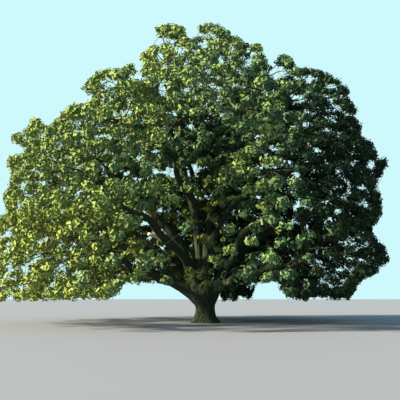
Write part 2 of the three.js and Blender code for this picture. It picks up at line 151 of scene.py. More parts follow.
def inscribed_distance(height, radius, rightness):
    """How far from the axis a whole mass still keeps inside the outline."""
    levels = np.linspace(-1, 1, MASS_LEVELS)
    reach = crown_reach(height + levels * FLATNESS * radius, (1 + rightness) / 2)
    return float(np.min(reach - radius * np.sqrt(1 - levels**2)))


masses = []
for tier_number, (name, count, height, radius, bearing, step, lift, tilt) in enumerate(TIERS):
    for k in range(count):
        seed = TIER_SEED * (tier_number + 1) + k
        degrees = around(bearing + k * step, BEARING_SPREAD, seed, 1)
        rightness = math.cos(math.radians(degrees))
        leaning = lift * max(0.0, -math.sin(math.radians(degrees))) + tilt * rightness
        own_radius = radius * around(1, RADIUS_SPREAD, seed, 2)
        own_height = around(height + leaning, HEIGHT_SPREAD, seed, 3)
        distance = inscribed_distance(own_height, own_radius, rightness)
        centre = bearing_vector(degrees) * distance + UP * own_height
        outward = unit(centre - CROWN_HEART)
        masses.append({
            "name": f"{name}_{k + 1}", "seed": seed, "radius": own_radius,
            "centre": centre, "outward": outward, "branches": MASS_BRANCHES,
        })
for k, (name, bearing, distance, height, radius) in enumerate(SHOOTS):
    centre = bearing_vector(bearing) * distance + UP * height
    outward = unit(bearing_vector(bearing) + UP * SHOOT_LIFT)
    masses.append({
        "name": name, "seed": SHOOT_SEED + k, "radius": radius,
        "centre": centre, "outward": outward, "branches": SHOOT_BRANCHES,
    })
mass_named = {mass["name"]: mass for mass in masses}
mass_number = {mass["name"]: number for number, mass in enumerate(masses)}
mass_centres = np.array([mass["centre"] for mass in masses])
mass_radii = np.array([mass["radius"] for mass in masses])


def claims(points):
    """Each mass's claim to each point: the lower, the nearer in that mass's own radii."""
    away = points[:, None, :] - mass_centres
    away[:, :, 2] /= FLATNESS
    return (away**2).sum(axis=2) - mass_radii**2


def owned(points, number, border):
    """Which points are a mass's own by more than a border."""
    claim = claims(points)
    own = claim[:, number].copy()
    claim[:, number] = np.inf
    return own + border < claim.min(axis=1)


# The crown as it is seen from the front. Rounded clumps stand out of its rim with notches between
# them, it hangs lowest in a few drooping tips, and the sky shows through where masses part.
# Places are across and up, on an upright plane through the trunk.
FRONT_OUTLINE = np.array([
    # the lower left corner, and up the left side
    (-14.0, 1.3), (-14.2, 7.0), (-13.4, 7.3), (-13.8, 8.4), (-13.3, 9.4), (-13.6, 10.7),
    (-13.5, 11.4), (-11.9, 11.5), (-13.2, 11.9),
    # the left shoulder
    (-13.6, 12.6), (-12.3, 13.3), (-11.9, 14.1), (-11.3, 13.9), (-10.8, 13.3), (-10.3, 13.9),
    (-9.4, 15.0), (-7.9, 15.1), (-8.0, 15.5), (-8.8, 16.0), (-8.1, 16.9), (-7.4, 17.5),
    (-6.6, 17.6), (-6.0, 17.5), (-5.2, 18.1), (-4.8, 18.0), (-4.6, 17.0), (-4.3, 17.7),
    (-4.8, 18.2), (-4.3, 19.0), (-3.6, 19.3), (-2.8, 19.2),
    # the top
    (-3.4, 19.8), (-3.7, 20.5), (-2.8, 20.9), (-1.9, 21.0), (-1.3, 20.5), (-1.1, 19.7),
    (-0.4, 20.1), (-0.7, 20.7), (-0.2, 21.1), (1.2, 20.9), (2.1, 19.9), (2.6, 20.1),
    (3.0, 19.4), (4.0, 19.4), (4.4, 18.6), (4.5, 17.7),
    # the right shoulder
    (4.9, 18.1), (5.3, 18.7), (6.2, 18.4), (6.6, 17.6), (7.4, 17.7), (8.3, 17.4), (9.0, 17.2),
    (9.2, 16.8), (9.6, 16.9), (9.8, 16.3), (10.2, 16.1), (10.2, 15.2), (10.8, 14.6),
    (10.5, 13.9), (11.1, 13.5), (10.8, 12.6),
    # down the right side
    (11.4, 12.6), (11.9, 11.9), (12.1, 11.0), (12.6, 11.4), (12.8, 10.6), (12.3, 10.2),
    (12.3, 9.4), (11.8, 9.3), (12.1, 8.5),
    (12.1, 7.1), (11.3, 6.0), (12.3, 4.9), (12.4, 3.9), (11.6, 3.2), (10.6, 2.6), (9.9, 1.8),
    # the skirt, with its drooping tips
    (9.4, 1.0), (9.0, 1.5), (8.6, 1.0), (8.2, 1.5), (6.9, 1.5), (6.5, 0.9), (6.1, 1.4),
    (5.0, 1.7), (4.8, 2.5), (3.4, 2.4), (3.2, 1.4), (1.2, 1.3), (0.8, 2.2), (-1.0, 2.2),
    (-5.2, 2.5), (-5.6, 1.8), (-6.3, 1.4), (-10.7, 1.3), (-11.2, 0.8), (-11.7, 1.3),
    (-12.7, 1.0),
])
SKY_GAPS = np.array([
    # across, up, half width, half height
    (-2.9, 15.9, 0.42, 0.52),
    (-3.0, 18.5, 0.3, 0.42),
    (-4.7, 16.8, 0.9, 0.24),
    (0.05, 19.4, 0.25, 0.45),
    (-2.0, 14.2, 0.28, 0.38),
    (-2.5, 13.3, 0.3, 0.28),
    (-2.2, 12.5, 0.36, 0.22),
    (-0.8, 13.4, 0.32, 0.2),
    (1.05, 18.3, 0.22, 0.38),
    (-0.5, 18.7, 0.28, 0.16),
    (0.55, 16.3, 0.16, 0.25),
    (-6.1, 16.5, 0.22, 0.22),
    (-6.2, 15.6, 0.25, 0.22),
    (4.9, 17.1, 0.36, 0.52),
    (7.4, 16.4, 0.34, 0.24),
    (8.9, 16.1, 0.42, 0.2),
    (8.7, 15.3, 0.25, 0.22),
    (5.6, 14.2, 0.22, 0.26),
    (8.2, 12.9, 0.22, 0.28),
    (7.1, 13.3, 0.24, 0.22),
    (3.6, 12.5, 0.28, 0.3),
    (7.7, 11.5, 0.36, 0.28),
    (6.7, 11.0, 0.32, 0.22),
    (10.2, 10.7, 0.32, 0.22),
    (11.3, 10.6, 0.3, 0.28),
    (6.3, 9.8, 0.3, 0.24),
    (-12.6, 11.6, 0.4, 0.15),
    (-12.7, 10.2, 0.2, 0.2),
    (-7.2, 12.5, 0.45, 0.22),
    (-9.6, 11.1, 0.34, 0.18),
    (-2.2, 10.0, 0.5, 0.4),
    (-0.9, 10.2, 0.4, 0.45),
    (-3.3, 10.0, 0.35, 0.22),
    (-0.25, 8.6, 0.07, 0.6),
    (2.4, 8.85, 0.28, 0.18),
    (3.4, 8.3, 0.5, 0.15),
    (10.7, 9.0, 0.3, 0.22),
    (6.1, 7.7, 0.3, 0.22),
])
WINDOWS = (
    # where foliage in front of the limbs is thin: across, up, half width, half height, share left
    (0.1, 5.4, 3.3, 3.9, 0.5),
    (-3.2, 5.3, 1.2, 1.0, 0.0),
    (-3.6, 2.8, 2.7, 1.2, 0.15),
    (6.4, 7.1, 3.0, 0.45, 0.5),
)
WINDOW_DEPTH = -0.7
LOBE_REACH = 0.45
NOTCH_DEPTH = 0.65
NOTCH_WAVES = (
    # how many round the tree, how far they turn with each metre up, where they start
    (13, 1.3, 0.0),
    (9, -1.7, 2.0),
)
BOX_SLACK = 0.026
LOWER_INSET = 0.6
GAP_INSET = 0.4
EDGE_JITTER = 0.05
INSET_WAYS = 8
box_low = np.array(cad_box[0])
box_high = np.array(cad_box[1])
box_slack = BOX_SLACK * (box_high - box_low)


def seen(points):
    """Where the photographer sees points, across and up on the plane through the trunk."""
    nearness = VIEWER_DISTANCE / (VIEWER_DISTANCE + points[:, 1])
    across = VIEWER_ASIDE + (points[:, 0] - VIEWER_ASIDE) * nearness
    up = EYE_HEIGHT + (points[:, 2] - EYE_HEIGHT) * nearness
    return np.stack([across, up], axis=1)


def inside_front_outline(places):
    """Which places lie in the outline: those with an odd number of its edges to their right."""
    inside = np.zeros(len(places), bool)
    for start, end in zip(FRONT_OUTLINE, np.roll(FRONT_OUTLINE, -1, axis=0)):
        if start[1] == end[1]:
            continue
        crosses = (start[1] > places[:, 1]) != (end[1] > places[:, 1])
        share = (places[:, 1] - start[1]) / (end[1] - start[1])
        inside ^= crosses & (places[:, 0] < start[0] + share * (end[0] - start[0]))
    return inside


def in_sky_gap(places, margin):
    """Which places lie in a gap that is wider by a margin all round."""
    offset = (places[:, None] - SKY_GAPS[:, :2]) / (SKY_GAPS[:, 2:] + margin)
    return ((offset**2).sum(axis=2) < 1).any(axis=1)


def notches(turns, heights):
    """How deep the rim is notched: most at the front and the back, not at the two ends."""
    waves = sum(
        np.sin(number * turns + climb * heights + start) for number, climb, start in NOTCH_WAVES
    )
    return NOTCH_DEPTH * np.maximum(waves, 0) * np.sin(turns) ** 2


def inside_round(points, inset):
    """Which points keep this far inside the outline that holds all round the tree."""
    x, y, z = points.T
    turns = np.arctan2(y, x)
    reach = crown_reach(z, (1 + np.cos(turns)) / 2) + LOBE_REACH - notches(turns, z)
    return (
        (z > LOWEST_LEAF + LOWER_INSET * inset)
        & (np.hypot(x, y) < reach - inset)
        & (points > box_low - box_slack + inset).all(axis=1)
        & (points < box_high + box_slack - inset).all(axis=1)
    )


def inside_crown(points, inset, rng):
    """Which points have room for foliage: in the outline all round, in front, and not in a gap."""
    places = seen(points) + rng.normal(0, EDGE_JITTER, (len(points), 2))
    inside = inside_round(points, inset) & ~in_sky_gap(places, GAP_INSET * inset)
    for turn in np.linspace(0, 2 * math.pi, INSET_WAYS, endpoint=False):
        aside = np.array((math.cos(turn), math.sin(turn)))
        inside &= inside_front_outline(places + inset * aside)
    return inside


def clear_of_windows(points, rng):
    """Which points leave the limbs in view, apart from the share that grows across them."""
    places = seen(points)
    clear = np.ones(len(points), bool)
    for across, up, half_width, half_height, share in WINDOWS:
        offset = (places - (across, up)) / (half_width, half_height)
        hides = ((offset**2).sum(axis=1) < 1) & (points[:, 1] < WINDOW_DEPTH)
        clear &= ~(hides & (rng.random(len(points)) > share))
    return clear


# The lines of the limbs. A few heavy limbs part from the trunk's head and others from them. Each
# bends from one direction to another, a little crooked, and ends where it enters its masses.
BOUGHS = (
    # name, parent, side and ring and fork height or share, rise, level, base, tip, masses
    ("leader_left", "trunk", (150, 0.17, 1.68), 88, 66, 0.255, 0.105, ("top_2", "upper_5")),
    ("leader_right", "trunk", (-30, 0.19, 1.68), 95, 62, 0.26, 0.105, ("top_1", "upper_2")),
    ("bough_low_left", "trunk", (180, 0.4, 1.4), 46, 4, 0.31, 0.12, ("low_7", "low_6")),
    ("bough_low_right", "trunk", (-35, 0.43, 1.64), 42, 2, 0.27, 0.11, ("low_1", "low_2")),
    ("bough_high_left", "trunk", (172, 0.3, 1.68), 71, 35, 0.34, 0.105, ("high_7", "high_6")),
    ("bough_middle_right", "trunk", (10, 0.4, 1.68), 64, 0, 0.31, 0.12, ("middle_2", "middle_3")),
    ("bough_middle_back", "trunk", (90, 0.4, 1.68), 60, 16, 0.29, 0.115, ("middle_4", "middle_5")),
    ("bough_low_back_right", "trunk", (45, 0.43, 1.64), 44, 4, 0.27, 0.11, ("low_3", "low_4")),
    ("bough_low_back_left", "trunk", (125, 0.43, 1.64), 44, 6, 0.27, 0.11, ("low_5",)),
    ("bough_low_front_left", "bough_low_left", 0.3, 8, -4, 0.2, 0.095, ("low_8", "low_9")),
    ("bough_middle_left", "bough_low_left", 0.24, 50, 12, 0.23, 0.11, ("middle_7", "middle_6")),
    ("bough_middle_front_left", "bough_high_left", 0.2, 46, 24, 0.23, 0.1, ("middle_8",)),
    ("bough_middle_front_right", "bough_middle_right", 0.2, 44, 18, 0.21, 0.1, ("middle_1",)),
    ("bough_high_right", "leader_right", 0.2, 74, 22, 0.205, 0.1, ("high_2", "high_3")),
    ("bough_high_back", "leader_right", 0.34, 60, 28, 0.19, 0.095, ("high_4", "high_5")),
    ("bough_high_front", "leader_left", 0.32, 66, 30, 0.19, 0.095, ("high_1", "high_8")),
    ("bough_upper_front_right", "leader_right", 0.55, 62, 36, 0.14, 0.08, ("upper_1",)),
    ("bough_upper_front_left", "leader_left", 0.56, 62, 36, 0.14, 0.08, ("upper_6",)),
    ("bough_upper_back", "leader_left", 0.48, 62, 36, 0.145, 0.08, ("upper_3", "upper_4")),
)
BOUGH_SEED = 500
CROOK = 0.035
LEAST_SWING = 1.2
MORE_SWING = 1.3
UPWARD_SWING = 0.6
SWING_DRAW = 11
LEAVE_PULL = 0.4
ARRIVE_PULL = 0.3
SHORT_OF_MASS = 0.72
LINE_POINTS = 201


def evenly(line, count):
    """The same line through points that lie evenly along it."""
    steps = np.linalg.norm(np.diff(line, axis=0), axis=1)
    along = np.concatenate(([0.0], np.cumsum(steps)))
    places = np.linspace(0, along[-1], count)
    return np.stack([np.interp(places, along, line[:, axis]) for axis in range(3)], axis=1)


def bend(start, leave, arrive, end, t):
    """A smooth bend between two points, drawn towards two others on its way."""
    return (
        start * (1 - t) ** 3
        + leave * 3 * t * (1 - t) ** 2
        + arrive * 3 * t**2 * (1 - t)
        + end * t**3
    )


def limb_line(start, start_way, end, end_way, seed, crook):
    """A bend from one point and direction to another, with a crook that fades at both ends."""
    length = np.linalg.norm(end - start)
    t = np.linspace(0, 1, LINE_POINTS)[:, None]
    leave = start + start_way * LEAVE_PULL * length
    arrive = end - end_way * ARRIVE_PULL * length
    smooth = bend(start, leave, arrive, end, t)
    sideways = unit(np.cross(UP, end - start))
    swings = LEAST_SWING + MORE_SWING * chance(seed, SWING_DRAW + 1)
    swing = 2 * math.pi * (chance(seed, SWING_DRAW) + swings * t)
    fade = 4 * t * (1 - t) * crook * length
    crooked = smooth + sideways * fade * np.sin(swing) + UP * UPWARD_SWING * fade * np.cos(swing)
    return evenly(crooked, LINE_POINTS)


limb_lines = {}
for index, (name, parent, origin, rise, level, base, tip, carried) in enumerate(BOUGHS):
    middle = np.mean([mass_named[mass]["centre"] for mass in carried], axis=0)
    if parent == "trunk":
        side, ring, fork = origin
        start = bearing_vector(side) * ring + UP * fork
    else:
        start = limb_lines[parent][round(origin * (LINE_POINTS - 1))]
    heading = middle - start
    flat = math.degrees(math.atan2(heading[1], heading[0]))
    leaving = side if parent == "trunk" else flat
    end = middle - unit(heading) * SHORT_OF_MASS * mass_named[carried[0]]["radius"]
    limb_lines[name] = limb_line(
        start, bearing_vector(leaving, rise), end, bearing_vector(flat, level),
        BOUGH_SEED + index, CROOK,
    )

# The trunk. A short thick bole of solid oak under grey-brown bark that is split into long ridges.
# Its foot flares into five roots at the ground, and its head swells and flutes into the limbs.
TRUNK_HEIGHT = 2.35
WAIST_RADIUS = 0.6
WAIST_HEIGHT = 0.98
FOOT_SPREAD = 0.38
FOOT_DEPTH = 0.34
HEAD_SPREAD = 0.33
HEAD_HEIGHT = 1.9
BUTTRESSES = 5
BUTTRESS_SPREAD = 0.19
BUTTRESS_SHIFT = 0.6
LEAN = 0.06
LEAN_CURVE = 2 / 3
DOME_RISE = 0.28
TRUNK_WAVES = (
    # how many round the trunk, how far they turn with each metre up, depth
    (3, 2.1, 0.02),
    (7, -3.3, 0.014),
)
TRUNK_SIDES = 176
TRUNK_RINGS = 100
LOW_RINGS_CLOSER = 1.15
DOME_RINGS = 14
FILLET = 0.34
FULL_FILLET_BASE = 0.26
NEAR_WOOD = 1.0
RELIEF_DEPTH = 0.045
RIDGE_WIDTH = 0.1
RIDGE_STRETCH = 0.18
RIDGE_EDGE = 0.24
PLATE_WIDTH = 0.45
PLATE_MIDDLE = 0.82
PLATE_HEIGHT = 0.3
TRUNK_GRAIN = 1
GRAIN_SHIFT = 31.7
CRACK_SHARPNESS = 5.0
RELIEF_SHARE = 0.5
LINE_SAMPLES = 100
sampled_lines = {name: evenly(line, LINE_SAMPLES) for name, line in limb_lines.items()}
sampled_radii = {row[0]: np.linspace(row[5], row[6], LINE_SAMPLES) for row in BOUGHS}


def smooth_step(values, low, high):
    """From 0 at the low value to 1 at the high one, level at both."""
    share = np.clip((values - low) / (high - low), 0, 1)
    return share * share * (3 - 2 * share)


def trunk_radius(heights, turns):
    """The trunk's radius with its flared foot, its root buttresses and its swollen head."""
    foot = np.exp(-heights / FOOT_DEPTH)
    head = smooth_step(heights, WAIST_HEIGHT, HEAD_HEIGHT)
    fold = np.maximum(0, np.cos(BUTTRESSES * turns + BUTTRESS_SHIFT * np.sin(turns)))
    return WAIST_RADIUS + (FOOT_SPREAD + BUTTRESS_SPREAD * fold) * foot + HEAD_SPREAD * head


def trunk_axis(heights):
    """How far the leaning trunk's middle lies to the right at a height."""
    return LEAN * (np.clip(heights, 0, TRUNK_HEIGHT) / TRUNK_HEIGHT) ** LEAN_CURVE


def along_grain(radii, angles, heights):
    """Where a limb's points lie in its own grain, as if it stood upright and straight."""
    return np.stack([radii * np.cos(angles), radii * np.sin(angles), heights], axis=-1)


def bark_relief(grain, seed, width):
    """Height of the bark from 0 in a crack to 1 on a ridge, for points given along the grain."""
    shift = GRAIN_SHIFT * seed
    ridges = np.array([
        abs(noise.noise((x + shift, y, z * RIDGE_STRETCH)))
        for x, y, z in (grain / width).tolist()
    ])
    plates = np.array([
        noise.noise((x, y + shift, z * RIDGE_STRETCH))
        for x, y, z in (grain / (PLATE_WIDTH * width)).tolist()
    ])
    return smooth_step(ridges, 0.0, RIDGE_EDGE) * (PLATE_MIDDLE + PLATE_HEIGHT * plates)


def fillet(points, own_name):
    """How far a limb's surface swells where another piece of wood leaves it or joins it."""
    swell = np.zeros(len(points))
    for name, line in sampled_lines.items():
        if name == own_name:
            continue
        low = line.min(axis=0) - NEAR_WOOD
        high = line.max(axis=0) + NEAR_WOOD
        near = np.flatnonzero(((points > low) & (points < high)).all(axis=1))
        if len(near) == 0:
            continue
        gaps = np.linalg.norm(points[near][:, None] - line, axis=2) - sampled_radii[name]
        gap = np.abs(gaps.min(axis=1))
        width = FILLET * min(1.0, sampled_radii[name][0] / FULL_FILLET_BASE)
        swell[near] = np.maximum(swell[near], np.maximum(width - gap, 0) ** 2 / (4 * width))
    if own_name != "trunk":
        x, y, z = points.T
        from_axis = np.hypot(x - trunk_axis(z), y)
        gap = np.abs(from_axis - trunk_radius(z, np.arctan2(y, x)))
        gap = np.where(z < TRUNK_HEIGHT, gap, np.hypot(gap, z - TRUNK_HEIGHT))
        swell = np.maximum(swell, np.maximum(FILLET - gap, 0) ** 2 / (4 * FILLET))
    return swell


def srgb(red, green, blue):
    """A colour given as it shows on a screen, from 0 to 255, as Blender's linear one."""
    shares = np.array((red, green, blue)) / 255
    linear = np.where(shares <= 0.04045, shares / 12.92, ((shares + 0.055) / 1.055) ** 2.4)
    return (*linear.tolist(), 1.0)


def joined_piece(name, points, faces, finishes, smooth=False):
    """One piece from arrays. Each entry of faces has corner numbers, a row a face, and a finish."""
    mesh = bpy.data.meshes.new(name)
    corners = np.concatenate([rows.ravel() for rows, finish in faces])
    sizes = np.concatenate([np.full(len(rows), rows.shape[1]) for rows, finish in faces])
    numbers = np.concatenate([np.broadcast_to(finish, len(rows)) for rows, finish in faces])
    mesh.vertices.add(len(points))
    mesh.vertices.foreach_set("co", points.astype(np.float32).ravel())
    mesh.loops.add(len(corners))
    mesh.loops.foreach_set("vertex_index", corners.astype(np.int32))
    mesh.polygons.add(len(sizes))
    mesh.polygons.foreach_set("loop_start", (np.cumsum(sizes) - sizes).astype(np.int32))
    mesh.polygons.foreach_set("material_index", numbers.astype(np.int32))
    mesh.polygons.foreach_set("use_smooth", np.full(len(sizes), smooth))
    for finish in finishes:
        mesh.materials.append(finish)
    mesh.update(calc_edges=True)
    mesh.validate()
    piece = bpy.data.objects.new(name, mesh)
    bpy.context.scene.collection.objects.link(piece)
    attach(piece, "root")
    return piece


def ring_faces(rings, sides):
    """Quads between neighbouring rings of corners, the first ring first."""
    ring, side = np.meshgrid(np.arange(rings - 1), np.arange(sides), indexing="ij")
    here = ring * sides + side
    beside = ring * sides + (side + 1) % sides
    return np.stack([here, beside, beside + sides, here + sides], axis=-1).reshape(-1, 4)


def wood_piece(name, grid, grain, relief, finish):
    """A closed skin round a limb from rings of points, with what its bark needs to know."""
    rings, sides = grid.shape[:2]
    foot_cap = np.arange(sides)[::-1].reshape(1, -1)
    end_cap = (np.arange(sides) + (rings - 1) * sides).reshape(1, -1)
    faces = [(ring_faces(rings, sides), 0), (foot_cap, 0), (end_cap, 0)]
    piece = joined_piece(name, grid.reshape(-1, 3), faces, [finish], smooth=True)
    along = piece.data.attributes.new("grain", "FLOAT_VECTOR", "POINT")
    along.data.foreach_set("vector", grain.astype(np.float32).ravel())
    height = piece.data.attributes.new("relief", "FLOAT", "POINT")
    height.data.foreach_set("value", relief.astype(np.float32).ravel())
    return piece


def new_finish(name, roughness, gloss):
    """A finish with nothing but its shader's roughness and gloss."""
    finish = bpy.data.materials.new(name)
    finish.use_nodes = True
    shader = finish.node_tree.nodes["Principled BSDF"]
    shader.inputs["Roughness"].default_value = roughness
    shader.inputs["Specular IOR Level"].default_value = gloss
    return finish, shader


def add_node(finish, kind, inputs, **settings):
    """A node of a finish. Its inputs are numbers, colours or other nodes' outputs."""
    node = finish.node_tree.nodes.new("ShaderNode" + kind)
    for name, value in settings.items():
        setattr(node, name, value)
    for name, value in inputs.items():
        if isinstance(value, bpy.types.NodeSocket):
            finish.node_tree.links.new(value, node.inputs[name])
        else:
            node.inputs[name].default_value = value
    return node


def grain_noise(finish, stretch, scale, detail):
    """Noise in streaks along the grain of the wood, the longer the smaller the stretch."""
    grain = add_node(finish, "Attribute", {}, attribute_name="grain").outputs["Vector"]
    place = add_node(finish, "Mapping", {"Vector": grain, "Scale": (1, 1, stretch)})
    inputs = {"Vector": place.outputs["Vector"], "Scale": scale, "Detail": detail}
    return add_node(finish, "TexNoise", inputs).outputs["Fac"]


def tone_ramp(finish, value, tones):
    """The colour for a value, from two or three tones and the values that they stand at."""
    ramp = add_node(finish, "ValToRGB", {"Fac": value})
    elements = ramp.color_ramp.elements
    for element, (place, colour) in zip(elements, (tones[0], tones[-1])):
        element.position = place
        element.color = srgb(*colour)
    for place, colour in tones[1:-1]:
        elements.new(place).color = srgb(*colour)
    return ramp.outputs["Color"]


def cover(finish, shader, colour, height, strength, depth):
    """Gives the shader its colour and a fine roughness of the surface."""
    bump = add_node(finish, "Bump", {"Height": height, "Strength": strength, "Distance": depth})
    finish.node_tree.links.new(colour, shader.inputs["Base Color"])
    finish.node_tree.links.new(bump.outputs["Normal"], shader.inputs["Normal"])


def bark_finish():
    """Grey-brown oak bark: long dark cracks between dry ridges, with patches of green algae."""
    finish, shader = new_finish("oak_bark", roughness=0.92, gloss=0.2)
    cracks = grain_noise(finish, stretch=RIDGE_STRETCH, scale=17.0, detail=3.0)
    patches = grain_noise(finish, stretch=1.0, scale=2.4, detail=3.0)
    relief = add_node(finish, "Attribute", {}, attribute_name="relief").outputs["Fac"]
    off_middle = add_node(finish, "Math", {0: cracks, 1: 0.5}, operation="SUBTRACT")
    from_crack = add_node(finish, "Math", {0: off_middle.outputs[0]}, operation="ABSOLUTE")
    large = add_node(finish, "Math", {0: relief, 1: RELIEF_SHARE}, operation="MULTIPLY")
    heights = {0: from_crack.outputs[0], 1: CRACK_SHARPNESS, 2: large.outputs[0]}
    height = add_node(finish, "Math", heights, operation="MULTIPLY_ADD").outputs[0]
    tones = ((0.12, (35, 42, 34)), (0.55, (48, 57, 46)), (1.0, (54, 63, 51)))
    tone = tone_ramp(finish, height, tones)
    spread = {"Value": patches, "From Min": 0.42, "From Max": 0.64, "To Max": 0.75}
    algae = add_node(finish, "MapRange", spread).outputs["Result"]
    colours = {"Factor": algae, "A": tone, "B": srgb(44, 58, 42)}
    mixed = add_node(finish, "Mix", colours, data_type="RGBA").outputs["Result"]
    cover(finish, shader, mixed, height, strength=0.8, depth=0.025)
    return finish


oak_bark = bark_finish()
turns = np.linspace(0, 2 * math.pi, TRUNK_SIDES, endpoint=False)
ring_heights = TRUNK_HEIGHT * np.linspace(0, 1, TRUNK_RINGS) ** LOW_RINGS_CLOSER
heights, angles = np.meshgrid(ring_heights, turns, indexing="ij")
wander = sum(
    depth * np.sin(number * angles + climb * heights) for number, climb, depth in TRUNK_WAVES
)
radii = trunk_radius(heights, angles) + wander
dome_angles = np.linspace(0, math.pi / 2, DOME_RINGS + 2)[1:-1, None]
dome_radii = radii[-1] * np.cos(dome_angles)
dome_heights = TRUNK_HEIGHT + DOME_RISE * np.sin(dome_angles) * np.ones(TRUNK_SIDES)
radii = np.concatenate([radii, dome_radii])
heights = np.concatenate([heights, dome_heights])
angles = np.concatenate([angles, np.broadcast_to(turns, dome_radii.shape)])
grain = along_grain(radii, angles, heights)
relief = bark_relief(grain.reshape(-1, 3), TRUNK_GRAIN, RIDGE_WIDTH).reshape(radii.shape)
middles = np.stack([trunk_axis(heights), 0 * heights, 0 * heights], axis=-1)
swell = fillet((grain + middles).reshape(-1, 3), "trunk").reshape(radii.shape)
outward = radii + swell + RELIEF_DEPTH * (relief - 1)
trunk_grid = along_grain(outward, angles, heights) + middles
trunk = wood_piece("trunk_bark", trunk_grid, grain, relief, oak_bark)
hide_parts("trunk")

# The limbs. Each is one tapering limb of solid oak in the same bark, smoother towards its tip. It
# swells into a collar where it leaves the trunk or another limb, and carries knots of lost twigs.
HEAVY_BASE = 0.2
HEAVY_SIDES = 40
SLENDER_SIDES = 24
LIMB_RIDGE_WIDTH = 0.16
RINGS_PER_METRE = 8.0
LEAST_RINGS = 12
OVALNESS = 0.05
OVAL_TWIST = 1.7
WAVINESS = 0.04
WAVE_LENGTHWAYS = 3.1
KNOTS = 5
KNOT_HEIGHT = 0.05
KNOT_LENGTH = 0.13
KNOTS_LOWER_AT_TIP = 0.6
KNOT_PLACE_DRAW = 80
KNOT_SIDE_DRAW = 90
FULL_RELIEF_RADIUS = 0.3
LEAST_RELIEF = 0.25
LOWEST_LIMB = 0.3
FRAME_HINT = (0.3, 0.9, 0.1)


def at_turns(first, second, turns):
    """Directions at turns round a limb or twig, from two that are square to it."""
    return first * np.cos(turns)[..., None] + second * np.sin(turns)[..., None]


def ways_out(line, angles):
    """Ways out from a line at turns round it that don't twist along it."""
    ahead = unit(np.gradient(line, axis=0))
    first = np.empty_like(ahead)
    first[0] = unit(np.cross(ahead[0], FRAME_HINT))
    for i in range(1, len(line)):
        first[i] = unit(first[i - 1] - ahead[i] * (first[i - 1] @ ahead[i]))
    return at_turns(first[:, None], np.cross(ahead, first)[:, None], angles)


def limb_piece(name, line, base, tip, seed, sides, finish):
    """One limb in bark: a tapering, slightly oval and wavy tube with knots and collars."""
    length = np.linalg.norm(np.diff(line, axis=0), axis=1).sum()
    rings = max(LEAST_RINGS, round(length * RINGS_PER_METRE))
    line = evenly(line, rings)
    turns = np.linspace(0, 2 * math.pi, sides, endpoint=False)
    along, angles = np.meshgrid(np.linspace(0, length, rings), turns, indexing="ij")
    share = along / length
    oval = OVALNESS * np.sin(2 * angles + OVAL_TWIST * along)
    waves = WAVINESS * np.sin(WAVE_LENGTHWAYS * along + seed)
    radii = (base + (tip - base) * share) * (1 + oval + waves)
    for k in range(KNOTS):
        place = length * chance(seed, KNOT_PLACE_DRAW + k)
        side = 2 * math.pi * chance(seed, KNOT_SIDE_DRAW + k)
        off = (along - place) ** 2 / KNOT_LENGTH**2
        off = off + (1 - np.cos(angles - side)) * (base / KNOT_LENGTH) ** 2
        radii = radii + KNOT_HEIGHT * (1 - KNOTS_LOWER_AT_TIP * share) * np.exp(-off)
    grain = along_grain(radii, angles, along)
    relief = bark_relief(grain.reshape(-1, 3), seed, LIMB_RIDGE_WIDTH).reshape(radii.shape)
    ways = ways_out(line, angles)
    surface = line[:, None] + ways * radii[..., None]
    swell = fillet(surface.reshape(-1, 3), name).reshape(radii.shape)
    depth = RELIEF_DEPTH * np.clip(radii / FULL_RELIEF_RADIUS, LEAST_RELIEF, 1)
    outward = radii + swell + depth * (relief - 1)
    grid = line[:, None] + ways * outward[..., None]
    grid[..., 2] = np.maximum(grid[..., 2], LOWEST_LIMB)
    return wood_piece(name, grid, grain, relief, finish)


for index, (name, parent, origin, rise, level, base, tip, carried) in enumerate(BOUGHS):
    sides = HEAVY_SIDES if base > HEAVY_BASE else SLENDER_SIDES
    seed = TRUNK_GRAIN + 1 + index
    limb = limb_piece(name + "_bark", limb_lines[name], base, tip, seed, sides, oak_bark)
    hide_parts(name)

# The broken stub. A dead limb that snapped off long ago on the left of the fork. Its bark is gone,
# and the bare wood is bleached, grooved along its grain and splintered at the end.
STUB_SHARE = 0.3
STUB_BEARING = 196
STUB_RISE = 20
STUB_LENGTH = 1.35
STUB_BASE = 0.15
STUB_TIP = 0.105
STUB_SIDES = 28
STUB_RINGS = 34
GROOVES = 9
GROOVE_TWIST = 1.2
GROOVE_DEPTH = 0.014
STUB_BEND = 0.02
STUB_BEND_LENGTHWAYS = 5
END_SHARE = 0.99
END_NARROWING = 0.45
SPLINTERED_FROM = 0.8
SPLINTER = 0.22
SPLINTER_TURNS = 5.3
SPLINTER_START = 0.7
SPLINTERS_BACK = 0.8


def bare_wood_finish():
    """Dead oak without bark: pale and dry, with grey streaks along the grain."""
    finish, shader = new_finish("bare_wood", roughness=0.8, gloss=0.5)
    streaks = grain_noise(finish, stretch=0.08, scale=45.0, detail=4.0)
    tone = tone_ramp(finish, streaks, ((0.35, (172, 160, 130)), (0.6, (236, 224, 192))))
    cover(finish, shader, tone, streaks, strength=1.0, depth=0.01)
    return finish


